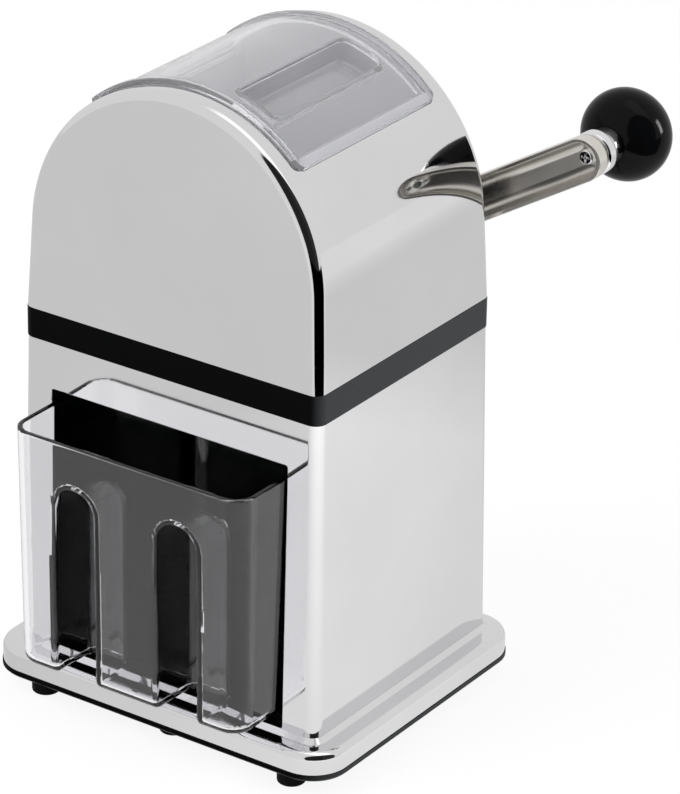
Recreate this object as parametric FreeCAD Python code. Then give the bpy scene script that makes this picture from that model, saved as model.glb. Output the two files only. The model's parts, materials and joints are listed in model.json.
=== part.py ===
import FreeCAD, Part
import math
import os

from FreeCAD import Vector

# Hand cranked ice crusher, millimetres, +Z up, front towards -Y, crank at the back.
# Every piece is drawn about the housing's own centre line and written about the
# middle of the whole object's footprint, on the surface that the feet stand on.

# Body, driving sizes
BODY_W = 138.0
BODY_D = 115.2
BODY_CORNER = 4.8
SHEET = 1.5

# Feet, base plate and plinth
FOOT_H = 7.8
FOOT_R = 5.7
FOOT_EDGE = 1.0
FOOT_IN_X = 21.8
FOOT_IN_Y = 10.6
MID_FOOT_IN_Y = 15.1
BASE_W = 162.6
BASE_D = 138.2
BASE_CORNER = 16.0
PLATE_T = 2.8
PLATE_CHAMFER = 1.0
PLINTH_H = 9.2
PLINTH_EDGE = 3.5
PLINTH_WALL = 2.0
PLINTH_INSET = 0.3
COVE_SHARE = 0.95

# Lower housing
LOWER_H = 132.1
LOWER_DRAFT = 0.015
MOUTH_SIDE = 13.6
MOUTH_SILL = 1.9
MOUTH_H = 111.1
MOUTH_CORNER = 1.0

# Band
BAND_H = 12.4
BAND_PROUD = 0.3
BAND_WALL = 4.5
DECK_T = 3.0

# Upper housing and lid
UPPER_DRAFT = 0.035
ARCH_CENTRE_UP = 33.9
ARCH_IN = 1.65
ARCH_EDGE = 4.5
LID_HALF_ANGLE = 47.0
LID_MARGIN = 13.0
LID_PROUD = 2.0
LID_CORNER = 4.0
LID_GAP = 0.3
LID_RIM_W = 2.8
LID_RECESS = 1.2
LID_SLOPE = 2.4
LID_SEAT_W = 3.9
LID_RIB_W = 1.6
LID_RIB_H = 1.5
POCKET_ANGLE = 20.0
POCKET_W = 20.0
POCKET_L = 69.0
POCKET_DEPTH = 8.0
POCKET_CORNER = 4.0
POCKET_WALL = 1.8
KNUCKLE_R = 2.6
LID_PIN_R = 0.9
LID_PIN_L = 12.0
LID_PIN_REACH = 2.8

# Drawer and its bay
DRAWER_SIDE_GAP = 0.6
DRAWER_L = 118.0
DRAWER_H = 100.6
DRAWER_OUT = 86.0
DRAWER_CORNER = 9.5
DRAWER_DRAFT = 0.01
DRAWER_WALL = 2.0
DRAWER_FOOT_EDGE = 3.0
BAY_FLOOR_H = 7.1
BAY_WALL = 1.6
BAY_SIDE_GAP = 0.4
BAY_REAR_GAP = 0.8
BAY_H = 116.0
RUNNER_W = 6.0
BAY_FLANGE = 6.0
SLIDE_GAP = 0.3
DRAWER_CLOSE = 18.0
TUNNEL_X = 24.0
TUNNEL_R = 9.4
TUNNEL_END_R = 8.4
TUNNEL_TOP = 82.2
TUNNEL_END_TOP = 77.8
TUNNEL_DEPTH = 25.0
TUNNEL_END_ROUND = 5.0
TUNNEL_PAST = 4.0

# Rotor, bearings and combs
AXIS_DROP = 0.4
JOURNAL_R = 6.0
SQUARE = 8.4
FRONT_JOURNAL_R = 4.1
RUNNING = 0.05
BUSH_WALL = 2.4
BUSH_L = 8.0
BLIND_L = 4.0
BUSH_FLANGE = 1.5
BUSH_FLANGE_W = 1.6
BOSS_R = 12.5
CUTTERS = 5
CUTTER_PITCH = 15.0
CUTTER_T = 4.0
CUTTER_TIP_R = 25.0
CUTTER_ROOT_R = 11.5
CUTTER_TEETH = 4
CUTTER_TWIST_ANGLE = 18.0
TOOTH_HOOK_ANGLE = 6.0
TOOTH_LAND_ANGLE = 7.0
TOOTH_BACK = 0.7
TOOTH_HOLLOW = 0.46
SPACER_R = 8.5
COMB_T = 4.0
COMB_H = 9.0
COMB_BAR_W = 12.0
COMB_BAR_T = 5.0
COMB_ROOT = 4.0
COMB_TIP_GAP = 1.6
COMB_HOOK = 3.0
COMB_NOSE = 4.0
THROAT_W = 56.0
THROAT_D = 86.0
THROAT_CORNER = 2.0
THROAT_UP = 10.0
HOPPER_WALL = 2.0
HOPPER_LIP_T = 4.8
HOPPER_TOP_W = 89.2
HOPPER_TOP_IN = 2.7
HOPPER_LIP = 8.0
ROTOR_END_GAP = 0.3
ROTOR_PIN_R = 1.5

# Crank and knob
CRANK_ANGLE = 31.5
CRANK_REACH = 122.3
ARM_W = 17.2
ARM_DEPTH = 7.5
ARM_SHEET = 1.6
ARM_BEND = 2.4
ARM_CLEAR = 3.1
NUT_R = 6.8
NUT_H = 6.5
STUB_R = 3.9
STUB_SHARE = 0.6
COLLAR_R = 16.0
COLLAR_T = 2.4
KNOB_R = 18.3
KNOB_HALF_L = 15.1
KNOB_SIDE_R = 13.6
KNOB_FACE_R = 7.8
WASHER_R = 8.7
WASHER_T = 5.0
WASHER_EDGE = 1.0
FERRULE_R = 7.5
FERRULE_T = 6.4
FERRULE_EDGE = 0.8
KNOB_SCREW_R = 2.5
KNOB_SCREW_DEPTH = 21.0
KNOB_SCREW_HEAD_R = 3.4
KNOB_SCREW_HEAD_H = 2.4
KNOB_PLAY = 0.3

# Screws
SCREW_R = 1.6
SCREW_HEAD_R = 3.0
SCREW_HEAD_H = 1.8
HEAD_BEVEL = 0.3
SCREW_GAP = 0.1
TIE_R = 2.0
TIE_HEAD_R = 3.6
TIE_IN_X = 7.5
TIE_IN_Y = 10.1
BASE_SCREW_IN_X = 11.3
BASE_SCREW_Y = 20.0
BOSS_WALL = 2.2
UPPER_BOSS_H = 16.0
UPPER_BOSS_WEB = 2.0
UPPER_BOSS_ROOF = 2.0
UPPER_SCREW_IN_X = 9.0
UPPER_SCREW_Y = 33.0
SEAT = 0.15
COLLAR_BORE_GAP = 1.0

# Tools that cut reach past what they cut by this much
PAST = 10.0

# Places that follow
FOOT_X = BASE_W / 2 - FOOT_IN_X
FOOT_Y = BASE_D / 2 - FOOT_IN_Y
MID_FOOT_Y = BASE_D / 2 - MID_FOOT_IN_Y
BASE_SCREW_X = BASE_W / 2 - BASE_SCREW_IN_X
TIE_X = BODY_W / 2 - TIE_IN_X
TIE_Y = BODY_D / 2 - TIE_IN_Y
UPPER_SCREW_X = BODY_W / 2 - UPPER_SCREW_IN_X
MOUTH_W = BODY_W - 2 * MOUTH_SIDE
DRAWER_W = MOUTH_W - 2 * DRAWER_SIDE_GAP
ARCH_R = BODY_W / 2 - ARCH_IN
LID_D = BODY_D - 2 * LID_MARGIN
R_LID = ARCH_R + LID_PROUD
R_PANEL = R_LID - LID_RECESS
HOPPER_TOP_D = LID_D - 2 * HOPPER_TOP_IN

# Heights that follow
Z_PLATE = FOOT_H
Z_PLINTH = Z_PLATE + PLATE_T
Z_LOWER = Z_PLINTH + PLINTH_H
Z_BAND = Z_LOWER + LOWER_H
Z_UPPER = Z_BAND + BAND_H
Z_ARCH = Z_UPPER + ARCH_CENTRE_UP
Z_TOP = Z_ARCH + ARCH_R
Z_AXIS = Z_UPPER - AXIS_DROP
Z_DRAWER = Z_LOWER + BAY_FLOOR_H + SLIDE_GAP
Z_RIM = Z_DRAWER + DRAWER_H

# Depths behind the back wall that follow
Y_BACK = BODY_D / 2
Y_BAND_BACK = Y_BACK + BAND_PROUD
Y_COLLAR = Y_BAND_BACK + COLLAR_T
Y_ARM = Y_BAND_BACK + ARM_CLEAR
Y_WEB = Y_ARM + ARM_DEPTH
Y_WASHER = Y_WEB + WASHER_T
Y_FERRULE = Y_WASHER + KNOB_PLAY + FERRULE_T
KNOB_END_R = (KNOB_R ** 2 + KNOB_HALF_L ** 2 - 2 * KNOB_R * KNOB_SIDE_R) / (
    2 * (KNOB_HALF_L - KNOB_SIDE_R))
KNOB_FACE_Y = KNOB_END_R - KNOB_HALF_L - math.sqrt(KNOB_END_R ** 2 - KNOB_FACE_R ** 2)
Y_KNOB = Y_FERRULE - KNOB_FACE_Y
Y_KNOB_END = Y_KNOB + KNOB_HALF_L

# Crank end
ARM_X = math.cos(math.radians(CRANK_ANGLE))
ARM_Z = math.sin(math.radians(CRANK_ANGLE))
KNOB_X = CRANK_REACH * ARM_X
KNOB_Z = Z_AXIS + CRANK_REACH * ARM_Z

# Middle of the whole footprint
FOOTPRINT_X = (KNOB_X + KNOB_R - BASE_W / 2) / 2
FOOTPRINT_Y = (Y_KNOB_END - DRAWER_OUT) / 2

X_AXIS = Vector(1, 0, 0)
Y_AXIS = Vector(0, 1, 0)
UP = Vector(0, 0, 1)


def lower_half(z):
    """Half width and half depth of the lower housing at a height."""
    grow = (Z_BAND - z) * LOWER_DRAFT
    return BODY_W / 2 + grow, BODY_D / 2 + grow


def plan_wire(hx, hy, r, z, yc=0.0):
    """Rounded rectangle at one height."""
    k = r * (1 - math.sqrt(0.5))
    edges = []
    corners = [(1, -1), (1, 1), (-1, 1), (-1, -1)]
    for i, (sx, sy) in enumerate(corners):
        nx, ny = corners[(i + 1) % 4]
        if sx == nx:
            leave = Vector(sx * hx, yc + sy * (hy - r), z)
            arrive = Vector(nx * hx, yc + ny * (hy - r), z)
            after = Vector(nx * (hx - r), yc + ny * hy, z)
        else:
            leave = Vector(sx * (hx - r), yc + sy * hy, z)
            arrive = Vector(nx * (hx - r), yc + ny * hy, z)
            after = Vector(nx * hx, yc + ny * (hy - r), z)
        middle = Vector(nx * (hx - k), yc + ny * (hy - k), z)
        edges.append(Part.LineSegment(leave, arrive).toShape())
        edges.append(Part.Arc(arrive, middle, after).toShape())
    return Part.Wire(edges)


def plan_block(hx, hy, r, z0, z1, yc=0.0):
    """Straight block with a rounded plan."""
    face = Part.Face(plan_wire(hx, hy, r, z0, yc))
    return face.extrude(Vector(0, 0, z1 - z0))


def drafted_block(low, high):
    """Solid between two rounded rectangles, each (hx, hy, r, z) or with a depth centre."""
    return Part.makeLoft([plan_wire(*low), plan_wire(*high)], True, True)


def box(x0, x1, y0, y1, z0, z1):
    return Part.makeBox(x1 - x0, y1 - y0, z1 - z0, Vector(x0, y0, z0))


def cylinder_z(r, x, y, z0, z1):
    return Part.makeCylinder(r, z1 - z0, Vector(x, y, z0), UP)


def cylinder_y(r, y0, y1, x=0.0, z=Z_AXIS):
    return Part.makeCylinder(r, y1 - y0, Vector(x, y0, z), Y_AXIS)


def fuse(shapes):
    result = shapes[0]
    for shape in shapes[1:]:
        result = result.fuse(shape)
    return result.removeSplitter()


def cut(shape, tools):
    for tool in tools:
        shape = shape.cut(tool)
    return shape


def edges_at(shape, test):
    return [edge for edge in shape.Edges if test(edge.BoundBox)]


def four(x, y):
    return [(x, y), (x, -y), (-x, y), (-x, -y)]


def screw(r, head_r, head_h, x, y, z_head, length, upwards=True):
    """Pan head screw whose head lies under z_head and whose shank goes up from it."""
    sign = 1 if upwards else -1
    shank = Part.makeCylinder(r, length, Vector(x, y, z_head), UP * sign)
    head = Part.makeCylinder(head_r, head_h, Vector(x, y, z_head), UP * -sign)
    far = z_head - sign * head_h
    rim = edges_at(head, lambda b: abs(b.ZMin - far) < 0.01 and abs(b.ZMax - far) < 0.01)
    head = head.makeChamfer(head_h * HEAD_BEVEL, rim)
    return shank.fuse(head)


# Feet, base plate and plinth

def make_feet():
    feet = []
    places = four(FOOT_X, FOOT_Y) + [(0, MID_FOOT_Y), (0, -MID_FOOT_Y)]
    for x, y in places:
        foot = cylinder_z(FOOT_R, x, y, 0, FOOT_H)
        foot = foot.makeChamfer(FOOT_EDGE, edges_at(foot, lambda b: b.ZMax < 0.01))
        feet.append(foot)
    return Part.makeCompound(feet)


def make_base_plate():
    plate = plan_block(BASE_W / 2, BASE_D / 2, BASE_CORNER, Z_PLATE, Z_PLINTH)
    low = edges_at(plate, lambda b: b.ZMax < Z_PLATE + 0.01)
    plate = plate.makeChamfer(PLATE_CHAMFER, low)
    holes = []
    for x, y in four(BASE_SCREW_X, BASE_SCREW_Y):
        holes.append(cylinder_z(SCREW_R + SCREW_GAP, x, y, Z_PLATE - 1, Z_PLINTH + 1))
        holes.append(cylinder_z(SCREW_HEAD_R + SCREW_GAP, x, y, Z_PLATE - 1,
                                Z_PLATE + SCREW_HEAD_H))
    return cut(plate, holes)


def make_base_screws():
    screws = []
    for x, y in four(BASE_SCREW_X, BASE_SCREW_Y):
        screws.append(screw(SCREW_R, SCREW_HEAD_R, SCREW_HEAD_H, x, y,
                            Z_PLATE + SCREW_HEAD_H, PLATE_T - SCREW_HEAD_H + PLINTH_H / 2))
    return Part.makeCompound(screws)


def make_plinth():
    hx = BASE_W / 2 - PLINTH_INSET
    hy = BASE_D / 2 - PLINTH_INSET
    corner = BASE_CORNER - PLINTH_INSET
    shell = plan_block(hx, hy, corner, Z_PLINTH, Z_LOWER)
    shell = shell.makeFillet(PLINTH_EDGE, edges_at(shell, lambda b: b.ZMin > Z_LOWER - 0.01))
    cavity = plan_block(hx - PLINTH_WALL, hy - PLINTH_WALL, corner - PLINTH_WALL,
                        Z_PLINTH, Z_LOWER - PLINTH_WALL)
    shell = shell.cut(cavity)
    # Bead round the body, as high as the sill of the drawer opening
    bx, by = lower_half(Z_LOWER)
    bead = plan_block(bx + MOUTH_SILL, by + MOUTH_SILL, BODY_CORNER + MOUTH_SILL,
                      Z_LOWER, Z_LOWER + MOUTH_SILL)
    top = edges_at(bead, lambda b: b.ZMin > Z_LOWER + MOUTH_SILL - 0.01)
    bead = bead.makeChamfer(MOUTH_SILL * COVE_SHARE, top)
    inner = drafted_block((bx + SEAT, by + SEAT, BODY_CORNER + SEAT, Z_LOWER),
                          (bx + SEAT, by + SEAT, BODY_CORNER + SEAT, Z_LOWER + MOUTH_SILL))
    bead = bead.cut(inner)
    parts = [shell, bead]
    for x, y in four(BASE_SCREW_X, BASE_SCREW_Y):
        parts.append(cylinder_z(SCREW_R + BOSS_WALL, x, y, Z_PLINTH, Z_LOWER - PLINTH_WALL / 2))
    body = fuse(parts)
    holes = []
    for x, y in four(BASE_SCREW_X, BASE_SCREW_Y):
        holes.append(cylinder_z(SCREW_R + SCREW_GAP, x, y, Z_PLINTH - 1,
                                Z_LOWER - PLINTH_WALL))
    for x, y in four(TIE_X, TIE_Y):
        holes.append(cylinder_z(TIE_R + SCREW_GAP, x, y, Z_PLINTH, Z_LOWER + 1))
    return cut(body, holes)


# Lower housing, bay and drawer

def lower_cavity(clear=0.0, z0=Z_LOWER, z1=Z_BAND):
    """Room inside the lower housing, smaller by a clearance."""
    inset = SHEET + clear
    ax, ay = lower_half(z0)
    bx, by = lower_half(z1)
    r = BODY_CORNER - inset
    return drafted_block((ax - inset, ay - inset, r, z0), (bx - inset, by - inset, r, z1))


def make_lower_housing():
    ax, ay = lower_half(Z_LOWER)
    bx, by = lower_half(Z_BAND)
    outer = drafted_block((ax, ay, BODY_CORNER, Z_LOWER), (bx, by, BODY_CORNER, Z_BAND))
    shell = outer.cut(lower_cavity())
    z0 = Z_LOWER + MOUTH_SILL
    mouth = box(-MOUTH_W / 2, MOUTH_W / 2, -BODY_D, 0, z0, z0 + MOUTH_H)
    upright = edges_at(mouth, lambda b: b.YLength > 1)
    mouth = mouth.makeFillet(MOUTH_CORNER, upright)
    return shell.cut(mouth)


def make_drawer_bay():
    inner_x = DRAWER_W / 2 + BAY_SIDE_GAP
    outer_x = inner_x + BAY_WALL
    z_floor = Z_LOWER + BAY_FLOOR_H
    z_top = Z_LOWER + BAY_H
    y_rear = DRAWER_L - DRAWER_OUT + DRAWER_CLOSE + BAY_REAR_GAP
    blank = box(-outer_x, outer_x, -BODY_D, y_rear + BAY_WALL, Z_LOWER, z_top)
    flange_x = outer_x + BAY_FLANGE
    front = -lower_half(Z_LOWER)[1] + SHEET
    flange = box(-flange_x, flange_x, -BODY_D, front + 2 * BAY_WALL, Z_LOWER, z_top)
    bay = blank.fuse(flange).common(lower_cavity(SEAT, Z_LOWER, z_top))
    room = box(-inner_x, inner_x, -BODY_D, y_rear, z_floor, z_top + 1)
    bay = bay.cut(room)
    # Hollow under the floor, left solid under the two runners and round the edge
    y_front = front + 2 * BAY_WALL
    for x0, x1 in ((-inner_x, -TUNNEL_X - RUNNER_W / 2),
                   (-TUNNEL_X + RUNNER_W / 2, TUNNEL_X - RUNNER_W / 2),
                   (TUNNEL_X + RUNNER_W / 2, inner_x)):
        bay = bay.cut(box(x0, x1, y_front, y_rear, Z_LOWER - 1, z_floor - BAY_WALL))
    return bay.removeSplitter()


def drawer_blank(inset, z0):
    """Drafted cup outline, set in by a wall, from a height up to the rim."""
    shrink = (Z_RIM - z0) * DRAWER_DRAFT
    hx = DRAWER_W / 2 - inset
    hy = DRAWER_L / 2 - inset
    yc = DRAWER_L / 2 - DRAWER_OUT
    r = DRAWER_CORNER - inset
    return drafted_block((hx - shrink, hy - shrink, r, z0, yc), (hx, hy, r, Z_RIM, yc))


def tunnel_wire(x, y, r, top, z_low):
    centre = top - r
    a = Vector(x - r, y, z_low)
    b = Vector(x - r, y, centre)
    c = Vector(x, y, top)
    d = Vector(x + r, y, centre)
    e = Vector(x + r, y, z_low)
    return Part.Wire([Part.LineSegment(a, b).toShape(), Part.Arc(b, c, d).toShape(),
                      Part.LineSegment(d, e).toShape(), Part.LineSegment(e, a).toShape()])


def finger_tunnel(x, grow):
    """Arch-topped hollow, open to the front and below, grown by a wall."""
    y0 = -DRAWER_OUT - TUNNEL_PAST
    y1 = -DRAWER_OUT + TUNNEL_DEPTH + grow
    z_low = Z_DRAWER - TUNNEL_PAST
    front = tunnel_wire(x, y0, TUNNEL_R + grow, Z_DRAWER + TUNNEL_TOP + grow, z_low)
    rear = tunnel_wire(x, y1, TUNNEL_END_R + grow, Z_DRAWER + TUNNEL_END_TOP + grow, z_low)
    tunnel = Part.makeLoft([front, rear], True, True)
    back = edges_at(tunnel, lambda b: b.YMin > y1 - 0.01 and b.ZMax > z_low + 1)
    return tunnel.makeFillet(TUNNEL_END_ROUND + grow, back)


def make_drawer():
    outer = drawer_blank(0.0, Z_DRAWER)
    room = drawer_blank(DRAWER_WALL, Z_DRAWER + DRAWER_WALL)
    for x in (-TUNNEL_X, TUNNEL_X):
        outer = outer.cut(finger_tunnel(x, 0.0))
        room = room.cut(finger_tunnel(x, DRAWER_WALL))
    low = edges_at(outer, lambda b: b.ZMax < Z_DRAWER + 0.01)
    outer = outer.makeFillet(DRAWER_FOOT_EDGE, low)
    return outer.cut(room)


# Band, bearings and rotor

def make_middle_band():
    hx = BODY_W / 2 + BAND_PROUD
    hy = BODY_D / 2 + BAND_PROUD
    corner = BODY_CORNER + BAND_PROUD
    ring = plan_block(hx, hy, corner, Z_BAND, Z_UPPER)
    room = plan_block(hx - BAND_WALL, hy - BAND_WALL, corner, Z_BAND + DECK_T, Z_UPPER + 1)
    ring = ring.cut(room)
    throat = box(-THROAT_W / 2, THROAT_W / 2, -THROAT_D / 2, THROAT_D / 2,
                 Z_BAND - 1, Z_UPPER + 1)
    ring = ring.cut(throat)
    y_in = Y_BAND_BACK - BUSH_L
    above = box(-BODY_W, BODY_W, -BODY_D, BODY_D, Z_BAND, Z_BAND + BODY_W)
    rear_boss = cylinder_y(BOSS_R, y_in, Y_BAND_BACK).common(above)
    front_boss = cylinder_y(BOSS_R, -Y_BAND_BACK + 2 * SHEET, -y_in).common(above)
    parts = [ring, rear_boss, front_boss]
    for x, y in four(UPPER_SCREW_X, UPPER_SCREW_Y):
        parts.append(cylinder_z(SCREW_R + BOSS_WALL, x, y, Z_BAND, Z_UPPER))
    frame = fuse(parts)
    bush_r = bush_outer_r()
    flange_r = bush_r + BUSH_FLANGE_W + SEAT
    holes = [cylinder_y(bush_r, y_in - 1, Y_BAND_BACK + 1),
             cylinder_y(bush_r, -y_in - BLIND_L, -y_in + 1),
             cylinder_y(flange_r, y_in - BUSH_FLANGE - ROTOR_END_GAP, y_in),
             cylinder_y(flange_r, -y_in, -y_in + BUSH_FLANGE + ROTOR_END_GAP)]
    for x, y in four(TIE_X, TIE_Y):
        holes.append(cylinder_z(TIE_R + SCREW_GAP, x, y, Z_BAND - 1, Z_BAND + DECK_T + 1))
    for x, y in four(UPPER_SCREW_X, UPPER_SCREW_Y):
        holes.append(cylinder_z(SCREW_R + SCREW_GAP, x, y, Z_BAND - 1, Z_UPPER + 1))
    for x, y in comb_screw_places():
        holes.append(cylinder_z(SCREW_R + SCREW_GAP, x, y, Z_BAND - 1, Z_BAND + DECK_T + 1))
    return cut(frame, holes)


def bush_outer_r():
    return JOURNAL_R + RUNNING + BUSH_WALL


def make_bearing(y_face, direction, bore_r, length):
    """Flanged bush: its flange lies on the boss's inner face."""
    outer_r = bush_outer_r()
    if direction > 0:
        sleeve = cylinder_y(outer_r, y_face, y_face + length)
        flange = cylinder_y(outer_r + BUSH_FLANGE_W, y_face - BUSH_FLANGE, y_face)
        bore = cylinder_y(bore_r, y_face - BUSH_FLANGE - 1, y_face + length + 1)
    else:
        sleeve = cylinder_y(outer_r, y_face - length, y_face)
        flange = cylinder_y(outer_r + BUSH_FLANGE_W, y_face, y_face + BUSH_FLANGE)
        bore = cylinder_y(bore_r, y_face - length - 1, y_face + BUSH_FLANGE + 1)
    return sleeve.fuse(flange).cut(bore).removeSplitter()


def rotor_end():
    """Half length of the cutter stack, just short of both bushes' flanges."""
    return Y_BAND_BACK - BUSH_L - BUSH_FLANGE - ROTOR_END_GAP


def rotor_pin_hole(grow):
    """Crosswise hole or pin through the last spacer and the shaft."""
    y = ((CUTTERS - 1) * CUTTER_PITCH / 2 + CUTTER_T / 2 + rotor_end()) / 2
    return Part.makeCylinder(ROTOR_PIN_R + grow, 2 * SPACER_R, Vector(0, y, Z_AXIS - SPACER_R), UP)


def make_crank_shaft():
    """Square in the middle for the cutters, round in both bushes, stub for the nut."""
    end = rotor_end()
    half = SQUARE / 2
    square = box(-half, half, -end, end, Z_AXIS - half, Z_AXIS + half)
    front_end = Y_BAND_BACK - BUSH_L + BLIND_L - 2 * SEAT
    front = cylinder_y(FRONT_JOURNAL_R, -front_end, -end)
    rear = cylinder_y(JOURNAL_R, end, Y_WEB - ARM_SHEET)
    stub = cylinder_y(STUB_R, Y_WEB - ARM_SHEET, Y_WEB + NUT_H * STUB_SHARE)
    return fuse([square, front, rear, stub]).cut(rotor_pin_hole(RUNNING))


def cutter_point(radius, angle):
    a = math.radians(angle)
    return Vector(radius * math.cos(a), 0, Z_AXIS + radius * math.sin(a))


def cutter_outline(turn):
    """Hooked teeth round a hub: each has a steep face, a blunt tip and a curved back."""
    edges = []
    step = 360.0 / CUTTER_TEETH
    for tooth in range(CUTTER_TEETH):
        base = tooth * step + turn
        face_foot = cutter_point(CUTTER_ROOT_R, base)
        face_tip = cutter_point(CUTTER_TIP_R, base + TOOTH_HOOK_ANGLE)
        land_end = cutter_point(CUTTER_TIP_R, base + TOOTH_HOOK_ANGLE + TOOTH_LAND_ANGLE)
        land_middle = cutter_point(CUTTER_TIP_R, base + TOOTH_HOOK_ANGLE + TOOTH_LAND_ANGLE / 2)
        back_foot = cutter_point(CUTTER_ROOT_R, base + step * TOOTH_BACK)
        back_middle = cutter_point((CUTTER_ROOT_R + CUTTER_TIP_R) * TOOTH_HOLLOW,
                                   base + step * TOOTH_BACK / 2)
        gullet = cutter_point(CUTTER_ROOT_R, base + step * (1 + TOOTH_BACK) / 2)
        next_foot = cutter_point(CUTTER_ROOT_R, base + step)
        edges.append(Part.LineSegment(face_foot, face_tip).toShape())
        edges.append(Part.Arc(face_tip, land_middle, land_end).toShape())
        edges.append(Part.Arc(land_end, back_middle, back_foot).toShape())
        edges.append(Part.Arc(back_foot, gullet, next_foot).toShape())
    return Part.Wire(edges)


def make_cutter(index):
    y = (index - (CUTTERS - 1) / 2) * CUTTER_PITCH
    wire = cutter_outline(index * CUTTER_TWIST_ANGLE)
    disc = Part.Face(wire).extrude(Vector(0, CUTTER_T, 0))
    disc.translate(Vector(0, y - CUTTER_T / 2, 0))
    half = SQUARE / 2 + RUNNING
    hole = box(-half, half, y - CUTTER_T, y + CUTTER_T, Z_AXIS - half, Z_AXIS + half)
    return disc.cut(hole)


def make_spacers():
    rings = []
    half = SQUARE / 2 + RUNNING
    faces = [-rotor_end()]
    for index in range(CUTTERS):
        y = (index - (CUTTERS - 1) / 2) * CUTTER_PITCH
        faces += [y - CUTTER_T / 2, y + CUTTER_T / 2]
    faces.append(rotor_end())
    for start, end in zip(faces[0::2], faces[1::2]):
        ring = cylinder_y(SPACER_R, start, end)
        hole = box(-half, half, start - 1, end + 1, Z_AXIS - half, Z_AXIS + half)
        rings.append(ring.cut(hole).cut(rotor_pin_hole(RUNNING)))
    return Part.makeCompound(rings)


def make_rotor_pin():
    return rotor_pin_hole(0.0)


def comb_screw_places():
    x = THROAT_W / 2 + COMB_BAR_W - SCREW_HEAD_R - SCREW_GAP
    return four(x, THROAT_D / 2 - COMB_BAR_W / 2)


def make_comb(side):
    """Fixed bar on the deck with fingers that reach in between the cutters."""
    z0 = Z_BAND + DECK_T
    x0 = THROAT_W / 2
    bar = box(x0, x0 + COMB_BAR_W, -THROAT_D / 2, THROAT_D / 2, z0, z0 + COMB_BAR_T)
    parts = [bar]
    tip = SPACER_R + COMB_TIP_GAP
    for index in range(CUTTERS + 1):
        y = (index - CUTTERS / 2) * CUTTER_PITCH
        low = Vector(x0 + COMB_ROOT, y - COMB_T / 2, z0)
        outline = [low, Vector(tip + COMB_HOOK, low.y, z0), Vector(tip, low.y, z0 + COMB_H * 0.55),
                   Vector(tip, low.y, z0 + COMB_H), Vector(tip + COMB_NOSE, low.y, z0 + COMB_H * 1.15),
                   Vector(low.x, low.y, z0 + COMB_H * 0.8), low]
        finger = Part.Face(Part.makePolygon(outline)).extrude(Vector(0, COMB_T, 0))
        parts.append(finger)
    comb = fuse(parts)
    holes = []
    for x, y in comb_screw_places():
        holes.append(cylinder_z(SCREW_R + SCREW_GAP, x, y, z0 - 1, z0 + COMB_BAR_T + 1))
    comb = cut(comb, holes)
    if side < 0:
        comb = comb.mirror(Vector(0, 0, 0), X_AXIS)
    return comb


def make_comb_screws():
    z = Z_BAND + DECK_T + COMB_BAR_T
    screws = []
    for x, y in comb_screw_places():
        screws.append(screw(SCREW_R, SCREW_HEAD_R, SCREW_HEAD_H, x, y, z,
                            COMB_BAR_T + DECK_T, upwards=False))
    return Part.makeCompound(screws)


def make_tie_screws():
    z0 = Z_LOWER - PLINTH_WALL
    screws = []
    for x, y in four(TIE_X, TIE_Y):
        screws.append(screw(TIE_R, TIE_HEAD_R, SCREW_HEAD_H, x, y, z0,
                            PLINTH_WALL + LOWER_H + DECK_T))
    return Part.makeCompound(screws)


# Upper housing, hopper and lid

def arch_solid(inset, edge):
    """Arched block, leaning in on all sides, set in by a wall, with rounded outline edges."""
    hx = BODY_W / 2 - inset
    r = ARCH_R - inset
    run = math.hypot(hx, ARCH_CENTRE_UP)
    tangent = math.acos(r / run) - math.atan2(ARCH_CENTRE_UP, hx)
    touch = Vector(r * math.cos(tangent), 0, Z_ARCH + r * math.sin(tangent))
    a = Vector(hx, 0, Z_UPPER)
    b = touch
    c = Vector(0, 0, Z_ARCH + r)
    d = Vector(-touch.x, 0, touch.z)
    e = Vector(-hx, 0, Z_UPPER)
    wire = Part.Wire([Part.LineSegment(a, b).toShape(), Part.Arc(b, c, d).toShape(),
                      Part.LineSegment(d, e).toShape(), Part.LineSegment(e, a).toShape()])
    block = Part.Face(wire).extrude(Vector(0, 2 * BODY_D, 0))
    block.translate(Vector(0, -BODY_D, 0))
    z1 = Z_TOP + PAST
    low_y = BODY_D / 2 - inset
    high_y = low_y - (z1 - Z_UPPER) * UPPER_DRAFT
    side = Part.makePolygon([Vector(-BODY_W, -low_y, Z_UPPER), Vector(-BODY_W, low_y, Z_UPPER),
                             Vector(-BODY_W, high_y, z1), Vector(-BODY_W, -high_y, z1),
                             Vector(-BODY_W, -low_y, Z_UPPER)])
    leaning = Part.Face(side).extrude(Vector(2 * BODY_W, 0, 0))
    block = block.common(leaning)
    limit = block.BoundBox.YMax - ARCH_R * UPPER_DRAFT * 2 - 1.0
    outline = [edge_ for edge_ in block.Edges
               if edge_.BoundBox.ZLength > 1.0 and abs(edge_.CenterOfMass.y) > limit]
    return block.makeFillet(edge, outline)


def arch_sector(r0, r1, half_angle, half_y, corner):
    """Block between two radii of the arch, with rounded corners seen from above it."""
    block = cylinder_y(r1, -half_y, half_y, 0.0, Z_ARCH)
    block = block.cut(cylinder_y(r0, -half_y - 1, half_y + 1, 0.0, Z_ARCH))
    reach = 3 * r1
    a = math.radians(half_angle)
    tip = Vector(0, -half_y - 1, Z_ARCH)
    right = Vector(reach * math.sin(a), -half_y - 1, Z_ARCH + reach * math.cos(a))
    left = Vector(-right.x, right.y, right.z)
    wedge = Part.Face(Part.makePolygon([tip, right, left, tip]))
    wedge = wedge.extrude(Vector(0, 2 * half_y + 2, 0))
    block = block.common(wedge)
    if corner > 0:
        def radial(b):
            return b.YLength < 0.01 and b.ZLength > 0.1 and b.XLength > 0.1

        sides = [edge for edge in block.Edges if radial(edge.BoundBox)
                 and edge.Curve.TypeId == "Part::GeomLine"]
        block = block.makeFillet(corner, sides)
    return block


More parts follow.
